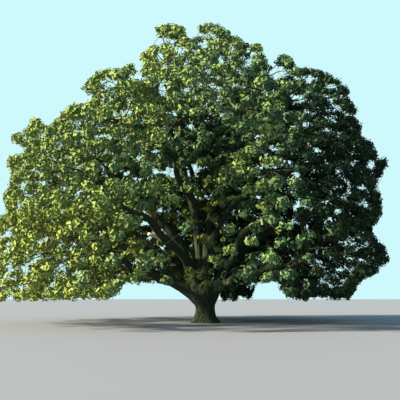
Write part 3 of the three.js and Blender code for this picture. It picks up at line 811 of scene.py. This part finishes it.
stub_start = limb_lines["bough_middle_front_left"][round(STUB_SHARE * (LINE_POINTS - 1))]
stub_way = bearing_vector(STUB_BEARING, STUB_RISE)
stub_line = stub_start + np.linspace(0, STUB_LENGTH, STUB_RINGS)[:, None] * stub_way
turns = np.linspace(0, 2 * math.pi, STUB_SIDES, endpoint=False)
along, angles = np.meshgrid(np.linspace(0, STUB_LENGTH, STUB_RINGS), turns, indexing="ij")
share = along / STUB_LENGTH
grooves = np.abs(np.sin(GROOVES / 2 * angles + GROOVE_TWIST * share)) * GROOVE_DEPTH
radii = STUB_BASE + (STUB_TIP - STUB_BASE) * share - grooves
radii = radii * np.where(share > END_SHARE, END_NARROWING, 1)
radii = radii + STUB_BEND * np.sin(STUB_BEND_LENGTHWAYS * along + angles)
ways = ways_out(stub_line, angles)
splinters = np.abs(np.sin(SPLINTER_TURNS * angles + SPLINTER_START)) - SPLINTERS_BACK
splinters = SPLINTER * smooth_step(share, SPLINTERED_FROM, 1.0) * splinters
stub_grid = stub_line[:, None] + ways * radii[..., None] + stub_way * splinters[..., None]
grain = along_grain(radii, angles, along)
stub = wood_piece("broken_stub_wood", stub_grid, grain, 1 - share, bare_wood_finish())
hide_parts("broken_stub")

# The branches and twigs of the masses, of live oak in thin bark. Branches fan out from a stem at the
# bough's tip, and side branches leave them for clumps of twigs all round the mass. A clump is drawn
# in until it has room, and one that never has is left out. Short shoots leave the limbs too.
STEM_CROOK = 0.03
STEM_RADII = (0.105, 0.045)
STEM_SIDES = 8
STEM_RINGS = 9
STEM_SAMPLES = 12
BARE_STEM_SAMPLES = 4
STEMS_APART = 0.05
STEM_SEAT = 0.28
SHOOT_START_RADIUS = 0.48
SHOOT_START_HEIGHT = 1.5
FAN_DRAW = 21
BRANCH_SEED = 3000
BRANCH_FAN = 1.5
BRANCH_REACHES = np.linspace(0.92, 0.3, 8)
BRANCH_INSET = 0.2
BRANCH_LIFT = 0.2
BRANCH_WANDER = 0.035
BRANCH_POINTS = 7
BRANCH_RADII = (0.042, 0.012)
BRANCH_SIDES = 5
FIRST_BRANCH = 0.97
BRANCHED_SHARE = 0.47
STEM_PULL = 0.5
SIDE_POINTS = 3
SIDE_REACH = 3.1
SIDE_RADII = (0.016, 0.006)
SIDE_SIDES = 3
SIDE_START_PULL = 0.6
SIDEWAYS_COST = 1.35
FORWARD_FAVOUR = 0.5
BRANCH_LEAVE_PULL = 0.35
TINY = 1e-6
FULL_BRANCHED_RADIUS = 3
FULL_CLUMP_RADIUS = 2
CLUMP_REACHES = np.linspace(1.45, 0.4, 18)
CLUMP_REACH_JITTER = 0.07
CLUMP_WAY_JITTER = 0.06
CLUMP_LAYERS = (
    # clumps, fan, shares of the reaches
    (125, 1.7, 1.0),
    (36, 1.5, 0.7),
)
FEWEST_CLUMPS = 4
CLUMP_RADIUS = 0.46
CLUMP_SIZE = (0.8, 0.4)
INNER_CLUMPS_LARGER = 0.3
CLUMPS_APART = 0.72
CLUMP_BORDER = 2.4
CLUMP_INSET = 0.4
CLUMP_WOOD_GAP = 0.2
CLUMP_LIFT = 0.8
CLUMP_TILT = 0.15
TOP_HEIGHT = 14.0
TOP_SPACING = 1.15
LOW_TIER_TOP = 5.5
UNDERSIDE = 0.75
TWIG_RADIUS = 0.0065
TWIG_LENGTH = (0.7, 0.35)
TWIG_FAN = 1.3
TWIG_LEAN_JITTER = 0.1
TWIG_SEAT = 0.5
TWIG_WOOD_GAP = 0.05
CLUMP_TWIGS = 8
CLUMP_FLATNESS = 0.8
LIMB_SHOOT_SEED = 77
LIMB_SHOOT_STEP = 0.42
LIMB_SHOOT_FIRST = 0.2
LIMB_SHOOTS_AT_ONE_PLACE = 2
LIMB_SHOOT_TURN = 6.3
LIMB_SHOOT_LEAN = 1.1
LIMB_SHOOT_LEAN_JITTER = 0.15
LIMB_SHOOT_LIFT = 0.25
LIMB_SHOOT_START_LIFT = 0.1
LIMB_SHOOT_LENGTH = (0.8, 2.0)
LIMB_SHOOT_WOOD_GAP = 0.3
SHADED_SPACE = ((-13.5, 0.8, 1.8), (11.5, 8.0, 16.0))
SHADED_TRIES = 8000
SHADED_APART = 1.08
SHADED_DEPTH = 1.5
SHADED_WOOD_GAP = 0.35
SHADED_FIRST_SAMPLE = 10
for mass in masses:
    mass["vigour"] = min(1.0, mass["radius"] / FULL_BRANCHED_RADIUS)
    mass["clump_scale"] = min(1.0, mass["radius"] / FULL_CLUMP_RADIUS)


def varied(least_and_more, draws):
    """A value for each draw from 0 to 1, from the least up to so much more."""
    least, more = least_and_more
    return least + more * draws


def plain_finish(name, colour, roughness):
    """A finish of one dull colour."""
    finish, shader = new_finish(name, roughness, gloss=0.1)
    shader.inputs["Base Color"].default_value = srgb(*colour)
    return finish


branch_bark = plain_finish("branch_bark", (38, 42, 34), roughness=0.9)
twig_bark = plain_finish("twig_bark", (42, 48, 34), roughness=0.8)


def square_to(axes, hint=(0.31, 0.22, 0.93)):
    """Two directions square to each of many."""
    first = unit(np.cross(np.broadcast_to(hint, axes.shape), axes))
    return first, np.cross(axes, first)


def turned(axes, lean, turn):
    """Directions that lean away from each axis by an angle, at a turn round it."""
    first, second = square_to(axes)
    return at_turns(axes, at_turns(first, second, turn), lean)


def bent(*ends_and_ways, count):
    """Many bends at once, as rows of points, from a start and its way to an end and its way."""
    start, start_way, end, end_way = (rows[..., None, :] for rows in ends_and_ways)
    length = np.linalg.norm(end - start, axis=-1, keepdims=True)
    leave = start + start_way * BRANCH_LEAVE_PULL * length
    arrive = end - end_way * ARRIVE_PULL * length
    return bend(start, leave, arrive, end, np.linspace(0, 1, count)[:, None])


def rods(lines, base, tip, sides, first_corner):
    """Tapering rods along many lines of the same number of points, open where they start."""
    count, steps = lines.shape[:2]
    ahead = unit(np.gradient(lines, axis=1))
    side, cross = square_to(ahead)
    turns = np.linspace(0, 2 * math.pi, sides, endpoint=False)
    radii = (base + (tip - base) * np.linspace(0, 1, steps))[:, None, None]
    ways = at_turns(side[:, :, None], cross[:, :, None], turns)
    points = (lines[:, :, None] + ways * radii).reshape(-1, 3)
    starts = first_corner + np.arange(count)[:, None, None] * steps * sides
    quads = (ring_faces(steps, sides) + starts).reshape(-1, 4)
    ends = (np.arange(sides) + (steps - 1) * sides + starts[:, 0]).reshape(-1, sides)
    return points, quads, ends


def spikes(starts, ends, radius, first_corner):
    """Three-sided twigs that run to a point."""
    side, cross = square_to(unit(ends - starts))
    turns = np.linspace(0, 2 * math.pi, 3, endpoint=False)
    ring = at_turns(side[:, None], cross[:, None], turns)
    points = np.concatenate([starts[:, None] + ring * radius, ends[:, None]], axis=1)
    corners = first_corner + np.arange(len(starts))[:, None] * 4
    sides = np.array([(0, 1, 3), (1, 2, 3), (2, 0, 3)])
    return points.reshape(-1, 3), (corners[:, None] + sides).reshape(-1, 3)


def fan_ways(mass, count, fan, draw):
    """Directions that fan out evenly round a mass's outer side by the golden angle."""
    k = np.arange(count)
    height = 1 - fan * (k + 0.5) / count
    turn = k * GOLDEN_ANGLE + 2 * math.pi * chance(mass["seed"], draw)
    outward = mass["outward"]
    first = unit(np.cross(UP, outward))
    second = np.cross(outward, first)
    level = np.sqrt(1 - height**2)[:, None]
    return outward * height[:, None] + at_turns(first, second, turn) * level


def stem_lines():
    """Each mass's stem, from its bough's tip or the trunk to the middle of the mass."""
    lines = {}
    for name, parent, origin, rise, level, base, tip, carried in BOUGHS:
        line = limb_lines[name]
        ahead = unit(line[-1] - line[-4])
        parting = mass_named[carried[-1]]["centre"] - mass_named[carried[0]]["centre"]
        across = parting - ahead * (parting @ ahead)
        across = across / max(np.linalg.norm(across), TINY)
        for k, mass_name in enumerate(carried):
            mass = mass_named[mass_name]
            place = (k - (len(carried) - 1) / 2) * 2 * STEMS_APART
            start = line[-1] - ahead * STEM_SEAT + across * place
            arrival = unit(mass["centre"] - start)
            lines[mass_name] = limb_line(
                start, ahead, mass["centre"], arrival, mass["seed"], STEM_CROOK
            )
    for name, bearing, distance, height, radius in SHOOTS:
        mass = mass_named[name]
        flat = bearing_vector(bearing)
        start = flat * SHOOT_START_RADIUS + UP * SHOOT_START_HEIGHT
        lines[name] = limb_line(start, flat, mass["centre"], UP, mass["seed"], STEM_CROOK)
    return lines


wood_samples = kdtree.KDTree(len(sampled_lines) * LINE_SAMPLES)
wood_radii = np.concatenate([sampled_radii[name] for name in sampled_lines])
for number, point in enumerate(np.concatenate(list(sampled_lines.values()))):
    wood_samples.insert(point, number)
wood_samples.balance()


def clear_of_wood(points, gap):
    """Which points lie clear of the limbs and the trunk."""
    clear = np.ones(len(points), bool)
    for i, point in enumerate(points):
        found, number, distance = wood_samples.find(point)
        clear[i] = distance > wood_radii[number] + gap
    x, y, z = points.T
    in_trunk = np.hypot(x - trunk_axis(z), y) < trunk_radius(z, np.arctan2(y, x)) + gap
    return clear & ~(in_trunk & (z < TRUNK_HEIGHT))


def place_clumps(mass, rng):
    """The middles of a mass's clumps, each drawn in along its own way until it has room."""
    scale = mass["clump_scale"]
    apart = CLUMPS_APART * (TOP_SPACING if mass["centre"][2] > TOP_HEIGHT else 1.0)
    number = mass_number[mass["name"]]
    placed = np.empty((0, 3))
    layers = []
    for layer, (count, fan, depth) in enumerate(CLUMP_LAYERS):
        count = max(FEWEST_CLUMPS, round(count * mass["vigour"]))
        ways = fan_ways(mass, count, fan, FAN_DRAW + layer)
        ways = unit(ways + rng.normal(0, CLUMP_WAY_JITTER, ways.shape))
        if mass["centre"][2] > LOW_TIER_TOP:
            ways = ways[ways[:, 2] > -UNDERSIDE]
        ways = ways * (1, 1, FLATNESS)
        reaches = CLUMP_REACHES - CLUMP_REACH_JITTER * rng.random((len(ways), 1))
        reaches = reaches * depth * mass["radius"]
        tried = mass["centre"] + ways[:, None] * reaches[..., None]
        flat = tried.reshape(-1, 3)
        fits = owned(flat, number, CLUMP_BORDER * scale)
        fits &= inside_crown(flat, CLUMP_INSET * scale, rng)
        fits = fits.reshape(len(ways), -1)
        first = fits.argmax(axis=1)
        found = tried[np.arange(len(ways)), first][fits.any(axis=1)]
        gap = CLUMP_WOOD_GAP * scale
        found = found[clear_of_windows(found, rng) & clear_of_wood(found, gap)]
        for place in found:
            if (np.linalg.norm(placed - place, axis=1) > apart * scale).all():
                placed = np.vstack([placed, place])
                layers.append(layer)
    return placed, np.array(layers)


def grow_branches(mass, stem):
    """The fan of branches from a mass's stem, drawn in like the clumps."""
    rng = np.random.default_rng(mass["seed"] + BRANCH_SEED)
    number = mass_number[mass["name"]]
    ways = fan_ways(mass, mass["branches"], BRANCH_FAN, FAN_DRAW)
    branches = []
    for k, way in enumerate(ways):
        place = round((FIRST_BRANCH - BRANCHED_SHARE * k / len(ways)) * (LINE_POINTS - 1))
        leaving = unit(stem[place + 1] - stem[place - 1]) * STEM_PULL + way
        ends = mass["centre"] + way * (1, 1, FLATNESS) * (BRANCH_REACHES[:, None] * mass["radius"])
        fits = owned(ends, number, CLUMP_BORDER / 2) & inside_crown(ends, BRANCH_INSET, rng)
        if not fits.any():
            continue
        end = ends[fits.argmax()]
        arriving = unit(way + UP * BRANCH_LIFT)
        line = bent(stem[place], unit(leaving), end, arriving, count=BRANCH_POINTS)
        line[1:-1] += rng.normal(0, BRANCH_WANDER, (BRANCH_POINTS - 2, 3))
        branches.append(line)
    return np.array(branches)


def grow_side_branches(clumps, points, ways):
    """From each clump back to the wood that it can grow from at the best angle and distance."""
    away = clumps[:, None] - points
    distance = np.linalg.norm(away, axis=2) + TINY
    forward = (away * ways).sum(axis=2) / distance
    best = (distance * (SIDEWAYS_COST - FORWARD_FAVOUR * forward)).argmin(axis=1)
    starts = points[best]
    end_ways = unit(clumps - starts)
    start_ways = unit(ways[best] * SIDE_START_PULL + end_ways)
    lines = bent(starts, start_ways, clumps, end_ways, count=SIDE_POINTS)
    kept = (distance.min(axis=1) < SIDE_REACH) & inside_front_outline(seen(lines[:, 1]))
    return lines[kept], kept


def limb_shoot_clumps(rng):
    """Clumps on short shoots all along the limbs, with the points of the limbs that bear them."""
    starts = []
    ends = []
    for line in sampled_lines.values():
        length = np.linalg.norm(np.diff(line, axis=0), axis=1).sum()
        shoots = np.arange(LIMB_SHOOT_FIRST * length, length, LIMB_SHOOT_STEP) / length
        shoots = np.repeat(shoots, LIMB_SHOOTS_AT_ONE_PLACE)
        places = np.minimum((shoots * LINE_SAMPLES).astype(int), LINE_SAMPLES - 2)
        along = unit(line[places + 1] - line[places])
        turn = np.arange(len(places)) * GOLDEN_ANGLE + LIMB_SHOOT_TURN * rng.random()
        lean = LIMB_SHOOT_LEAN + rng.normal(0, LIMB_SHOOT_LEAN_JITTER, len(places))
        way = unit(turned(along, lean, turn) + UP * LIMB_SHOOT_LIFT)
        starts.append(line[places])
        ends.append(line[places] + way * varied(LIMB_SHOOT_LENGTH, rng.random((len(places), 1))))
    starts = np.concatenate(starts)
    ends = np.concatenate(ends)
    kept = inside_crown(ends, CLUMP_INSET, rng) & clear_of_wood(ends, LIMB_SHOOT_WOOD_GAP)
    kept &= clear_of_windows(ends, rng)
    starts = starts[kept]
    ends = ends[kept]
    ways = unit(ends - starts)
    start_ways = unit(ways + UP * LIMB_SHOOT_START_LIFT)
    return bent(starts, start_ways, ends, ways, count=SIDE_POINTS)


def shaded_side_branches(rng):
    """Side branches to clumps that fill the shade behind the limbs."""
    low, high = np.array(SHADED_SPACE)
    tried = low + rng.random((SHADED_TRIES, 3)) * (high - low)
    tried = tried[inside_crown(tried, CLUMP_INSET, rng) & clear_of_wood(tried, SHADED_WOOD_GAP)]
    placed = tried[:1]
    for place in tried[1:]:
        if (np.linalg.norm(placed - place, axis=1) > SHADED_APART).all():
            placed = np.vstack([placed, place])
    lines = sampled_lines.values()
    points = np.concatenate([line[SHADED_FIRST_SAMPLE:] for line in lines])
    ways = np.concatenate([
        unit(np.gradient(line, axis=0))[SHADED_FIRST_SAMPLE:] for line in lines
    ])
    return grow_side_branches(placed, points, ways)[0]


stems = stem_lines()
growth_rng = np.random.default_rng(LIMB_SHOOT_SEED)
limb_shoots = limb_shoot_clumps(growth_rng)
shaded = shaded_side_branches(growth_rng)
limb_shoot_depth = np.concatenate([np.ones(len(limb_shoots)), np.full(len(shaded), SHADED_DEPTH)])
limb_shoots = np.concatenate([limb_shoots, shaded])
shoot_owner = claims(limb_shoots[:, -1]).argmin(axis=1)
sprays_of = {}
for number, mass in enumerate(masses):
    name = mass["name"]
    rng = np.random.default_rng(mass["seed"])
    branches = grow_branches(mass, stems[name])
    clumps, layers = place_clumps(mass, rng)
    samples = [*branches, evenly(stems[name], STEM_SAMPLES)[BARE_STEM_SAMPLES:]]
    points = np.concatenate(samples)
    ways = np.concatenate([unit(np.gradient(line, axis=0)) for line in samples])
    side_branches, grown = grow_side_branches(clumps, points, ways)
    shoots = limb_shoots[shoot_owner == number]
    side_branches = np.concatenate([side_branches, shoots])
    middles = side_branches[:, -1]
    outward = unit(middles - CROWN_HEART)
    axes = unit(UP * CLUMP_LIFT + outward + rng.normal(0, CLUMP_TILT, middles.shape))
    k = np.arange(CLUMP_TWIGS)
    turn = k * GOLDEN_ANGLE + 2 * math.pi * rng.random((len(middles), 1))
    lean = np.arccos(1 - TWIG_FAN * (k + 0.5) / CLUMP_TWIGS)
    lean = lean + rng.normal(0, TWIG_LEAN_JITTER, turn.shape)
    dome = turned(np.repeat(axes[:, None], CLUMP_TWIGS, axis=1), lean, turn)
    inner = np.concatenate([layers[grown], limb_shoot_depth[shoot_owner == number]])
    size = CLUMP_RADIUS * mass["clump_scale"] * varied(CLUMP_SIZE, rng.random(len(middles)))
    size = size * (1 + INNER_CLUMPS_LARGER * inner)
    stretch = size[:, None, None] * varied(TWIG_LENGTH, rng.random((*lean.shape, 1)))
    ends = middles[:, None] + dome * stretch * (1, 1, CLUMP_FLATNESS)
    back = side_branches[:, -1] - side_branches[:, -2]
    starts = middles[:, None] - back[:, None] * TWIG_SEAT * rng.random((*lean.shape, 1))
    freshness = np.repeat(rng.random(len(middles)), CLUMP_TWIGS)
    inner = np.repeat(inner, CLUMP_TWIGS)
    starts, ends, dome = (rows.reshape(-1, 3) for rows in (starts, ends, dome))
    kept = clear_of_wood(ends, TWIG_WOOD_GAP)
    kept &= inside_round(ends, 0.0) & inside_front_outline(seen(ends))
    sprays_of[name] = [values[kept] for values in (starts, ends, dome, freshness, inner)]
    parts = []
    corner = 0
    for lines, radii, vigour, sides, finish in (
        (evenly(stems[name], STEM_RINGS)[None], STEM_RADII, mass["vigour"], STEM_SIDES, 0),
        (branches, BRANCH_RADII, mass["vigour"], BRANCH_SIDES, 0),
        (side_branches, SIDE_RADII, 1.0, SIDE_SIDES, 1),
    ):
        base, tip = radii
        points, quads, caps = rods(lines, base * vigour, tip * vigour, sides, corner)
        parts.append((points, [(quads, finish), (caps, finish)]))
        corner += len(points)
    points, triangles = spikes(starts[kept], ends[kept], TWIG_RADIUS, corner)
    parts.append((points, [(triangles, 1)]))
    twigs = joined_piece(
        "twigs_" + name,
        np.concatenate([points for points, faces in parts]),
        [face for points, faces in parts for face in faces],
        [branch_bark, twig_bark],
    )
    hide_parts("foliage_" + name)

# The leaves. Oak leaves are leathery, lobed and a little folded along the midrib. They stand in
# sprays round the ends of the twigs and face up and outwards. A spray has one tone of green, set
# partly at random and partly by painted light and shade: fresh sprays and those towards the sun at
# the outside are yellower, the sunny ones by painted sunlight, and those inside the crown and away
# from the sun are deeper by painted shade.
LEAF_SEED = 5000
LEAVES = 6
LEAVES_INSIDE = 5
SPRAY_LENGTH = 0.3
SPRAY_FAN = 1.05
SPRAY_LEAN_JITTER = 0.16
LEAF_WAY_JITTER = 0.2
LEAF_LENGTH = 0.22
LEAF_SIZE = (0.8, 0.4)
LEAF_SIZE_ON_SHOOTS = (0.75, 0.25)
INNER_LEAVES_LARGER = 0.55
LEAF_WIDTH = 0.72
LEAF_FOLD = 0.3
LEAF_DROOP = 0.12
LEAF_STALK = 0.05
LEAF_WOOD_GAP = 0.02
LEAF_EDGE_JITTER = 0.08
LEAVES_INTO_GAPS = 0.06
SUN_BEARING = 191
SUN_HEIGHT = 25
LEAF_TONES = (
    # from the deepest painted shade to painted sunlight: shaded and lit copies of one leaf green
    ("deepest", (20, 38, 24)),
    ("deep", (26, 46, 31)),
    ("dark", (41, 63, 43)),
    ("green", (57, 83, 58)),
    ("light", (74, 99, 68)),
    ("yellow", (87, 109, 70)),
    ("young_and_sunlit", (96, 114, 63)),
    ("low_sunlit", (107, 122, 62)),
)
# One finish for each tone, so the leaf green comes in painted shade and painted sunlight.
leaf_tones = [
    plain_finish("leaf_" + name, colour, roughness=0.6) for name, colour in LEAF_TONES
]
leaf_outline = np.array([
    # along the midrib and aside, as shares of the leaf's length: the lobes near the stalk
    (0.0, 0.0),
    (0.38, 0.42),
    (0.68, 0.0),
    (0.38, -0.42),
    # and the lobes near the tip
    (0.42, 0.0),
    (0.8, 0.46),
    (1.0, 0.0),
    (0.8, -0.46),
])
LEAF_TIP = 6
leaf_faces = np.array([(0, 2, 1), (0, 3, 2), (4, 6, 5), (4, 7, 6)])


def leaf_corners(starts, ways, facing, lengths):
    """Corners of many leaves, each folded along its midrib and curved down at its tip."""
    across = unit(np.cross(facing, ways))
    normal = np.cross(ways, across)
    along, aside = leaf_outline.T
    aside = aside * LEAF_WIDTH
    rise = np.abs(aside) * LEAF_FOLD - LEAF_DROOP * along**2
    shape = (
        ways[:, None] * along[:, None]
        + across[:, None] * aside[:, None]
        + normal[:, None] * rise[:, None]
    )
    return starts[:, None] + lengths[:, None, None] * shape


sun_way = bearing_vector(SUN_BEARING, SUN_HEIGHT)
sunny_side = bearing_vector(SUN_BEARING, SUN_HEIGHT / 2)
# Painted light and shade of the leaves: how many tones each cause makes a spray lighter or darker.
LIGHT_HEART = np.array((0.0, 0.0, 4.0))
MIDDLE_LIGHT = 4.0
SUNNY_SIDE_LIGHT = 2.6
FAR_SIDE_SHADE = 4.0
RIGHT_SHADE = 1.9
RIGHT_SHADE_FROM = 3
RIGHT_SHADE_FADE = 4
RIGHT_SHADE_BACK = 6
FRESH_LIGHT = 2.0
CHANCE_LIGHT = 1.2
MASS_SIDE_LIGHT = 1.1
CLUMP_SIDE_LIGHT = 0.9
INNER_SHADE = 0.6
LIGHTEST_HIGH_UP = 6
LOW_LIGHT = 1.8
LOW_LIGHT_START = 1.5
LOW_LIGHT_FADE = 6
HEART_LIGHT = 2.5
HEART_RADIUS = 8


def painted_light_on(mass, ends, dome, freshness, inner, luck):
    """How much painted light and shade each spray's green takes, as a number among the tones.

    It is painted lightest towards the sun, for the crown, the mass and the clump alike. The right of
    the front and the inner clumps are painted in shade. Leaves low on the sunny side are painted
    lighter, and so are those near the heart. Freshness and chance add tone at random.
    """
    x, y, z = ends.T
    from_heart = ends - LIGHT_HEART
    sunward = unit(from_heart) @ sunny_side
    light = MIDDLE_LIGHT + SUNNY_SIDE_LIGHT * sunward + FAR_SIDE_SHADE * np.minimum(sunward, 0)
    in_shade = np.clip((x - RIGHT_SHADE_FROM) / RIGHT_SHADE_FADE, 0, 1)
    in_shade = in_shade * np.clip(1 - y / RIGHT_SHADE_BACK, 0, 1)
    light = light - RIGHT_SHADE * in_shade
    light = light + FRESH_LIGHT * (freshness - 0.5) + CHANCE_LIGHT * (luck - 0.5)
    light = light + MASS_SIDE_LIGHT * unit(ends - mass["centre"]) @ sun_way
    light = light + CLUMP_SIDE_LIGHT * dome @ sun_way
    light = np.clip(light - INNER_SHADE * inner, 0, LIGHTEST_HIGH_UP)
    low_down = np.clip(LOW_LIGHT_START - z / LOW_LIGHT_FADE, 0, 1)
    light = light + LOW_LIGHT * low_down * np.maximum(sunward, 0)
    near_heart = np.clip(1 - np.linalg.norm(from_heart, axis=1) / HEART_RADIUS, 0, 1)
    return light + HEART_LIGHT * near_heart * (1 - in_shade)


for mass in masses:
    name = mass["name"]
    twig_starts, twig_ends, dome, freshness, inner = sprays_of[name]
    rng = np.random.default_rng(mass["seed"] + LEAF_SEED)
    count = (len(twig_starts), LEAVES)
    k = np.arange(LEAVES)
    shares = (1 - SPRAY_LENGTH * k / LEAVES)[:, None]
    twig_way = np.broadcast_to(dome[:, None], (*count, 3))
    lean = np.arccos(1 - SPRAY_FAN * (k + 0.5) / LEAVES) + rng.normal(0, SPRAY_LEAN_JITTER, count)
    turn = GOLDEN_ANGLE * k + 2 * math.pi * rng.random((count[0], 1))
    facing = turned(twig_way, lean, turn)
    ways = turned(twig_way, lean + math.pi / 2, turn)
    ways = unit(ways + rng.normal(0, LEAF_WAY_JITTER, (*count, 3)))
    starts = twig_starts[:, None] * (1 - shares) + twig_ends[:, None] * shares
    starts = starts + facing * LEAF_STALK
    lengths = LEAF_LENGTH * varied(LEAF_SIZE_ON_SHOOTS, mass["clump_scale"])
    lengths = lengths * varied(LEAF_SIZE, rng.random(count))
    lengths = lengths * (1 + INNER_LEAVES_LARGER * inner[:, None])
    # The spray's tone: painted light and shade, with some tone at random.
    light = painted_light_on(mass, twig_ends, dome, freshness, inner, rng.random(count[0]))
    tone = np.clip(np.round(light).astype(int), 0, len(leaf_tones) - 1)
    starts, ways, facing = (rows.reshape(-1, 3) for rows in (starts, ways, facing))
    corners = leaf_corners(starts, ways, facing, lengths.ravel())
    tips = corners[:, LEAF_TIP]
    places = seen(tips) + rng.normal(0, LEAF_EDGE_JITTER, (len(tips), 2))
    kept = inside_round(tips, 0.0) & clear_of_wood(tips, LEAF_WOOD_GAP)
    kept &= inside_front_outline(places) & ~in_sky_gap(places, -LEAVES_INTO_GAPS)
    kept &= ((k < LEAVES_INSIDE) | (inner[:, None] == 0)).ravel()
    corners = corners[kept]
    tones = np.repeat(np.repeat(tone, LEAVES)[kept], len(leaf_faces))
    first = np.arange(len(corners))[:, None, None] * len(leaf_outline)
    faces = (leaf_faces + first).reshape(-1, 3)
    leaves = joined_piece("leaves_" + name, corners.reshape(-1, 3), [(faces, tones)], leaf_tones)
    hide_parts("foliage_" + name)

# The stage: a plain pale floor, a plain pale sky all round and a warm soft key light from the upper
# left, where the light comes from in the photo.
FLOOR_HALF = 400.0
SKY_STRENGTH = 0.97
KEY_ENERGY = 25.0
KEY_SOFTNESS = 6
KEY_COLOUR = (1.0, 0.84, 0.53)
floor_mesh = bpy.data.meshes.new("floor")
floor_corners = [(x * FLOOR_HALF, y * FLOOR_HALF, 0) for x, y in ((-1, -1), (1, -1), (1, 1), (-1, 1))]
floor_mesh.from_pydata(floor_corners, [], [(0, 1, 2, 3)])
floor_mesh.materials.append(plain_finish("floor", (98, 103, 120), roughness=0.9))
floor = bpy.data.objects.new("floor", floor_mesh)
bpy.context.scene.collection.objects.link(floor)

world = bpy.data.worlds.new("sky")
world.use_nodes = True
background = world.node_tree.nodes["Background"]
background.inputs["Color"].default_value = srgb(208, 252, 255)
background.inputs["Strength"].default_value = SKY_STRENGTH
bpy.context.scene.world = world

key_light = bpy.data.objects.new("key_light", bpy.data.lights.new("key_light", "SUN"))
key_light.data.energy = KEY_ENERGY
key_light.data.angle = math.radians(KEY_SOFTNESS)
key_light.data.color = KEY_COLOUR
key_light.rotation_euler = Vector(sun_way).to_track_quat("Z", "Y").to_euler()
bpy.context.scene.collection.objects.link(key_light)
bpy.context.scene.view_settings.view_transform = "Standard"
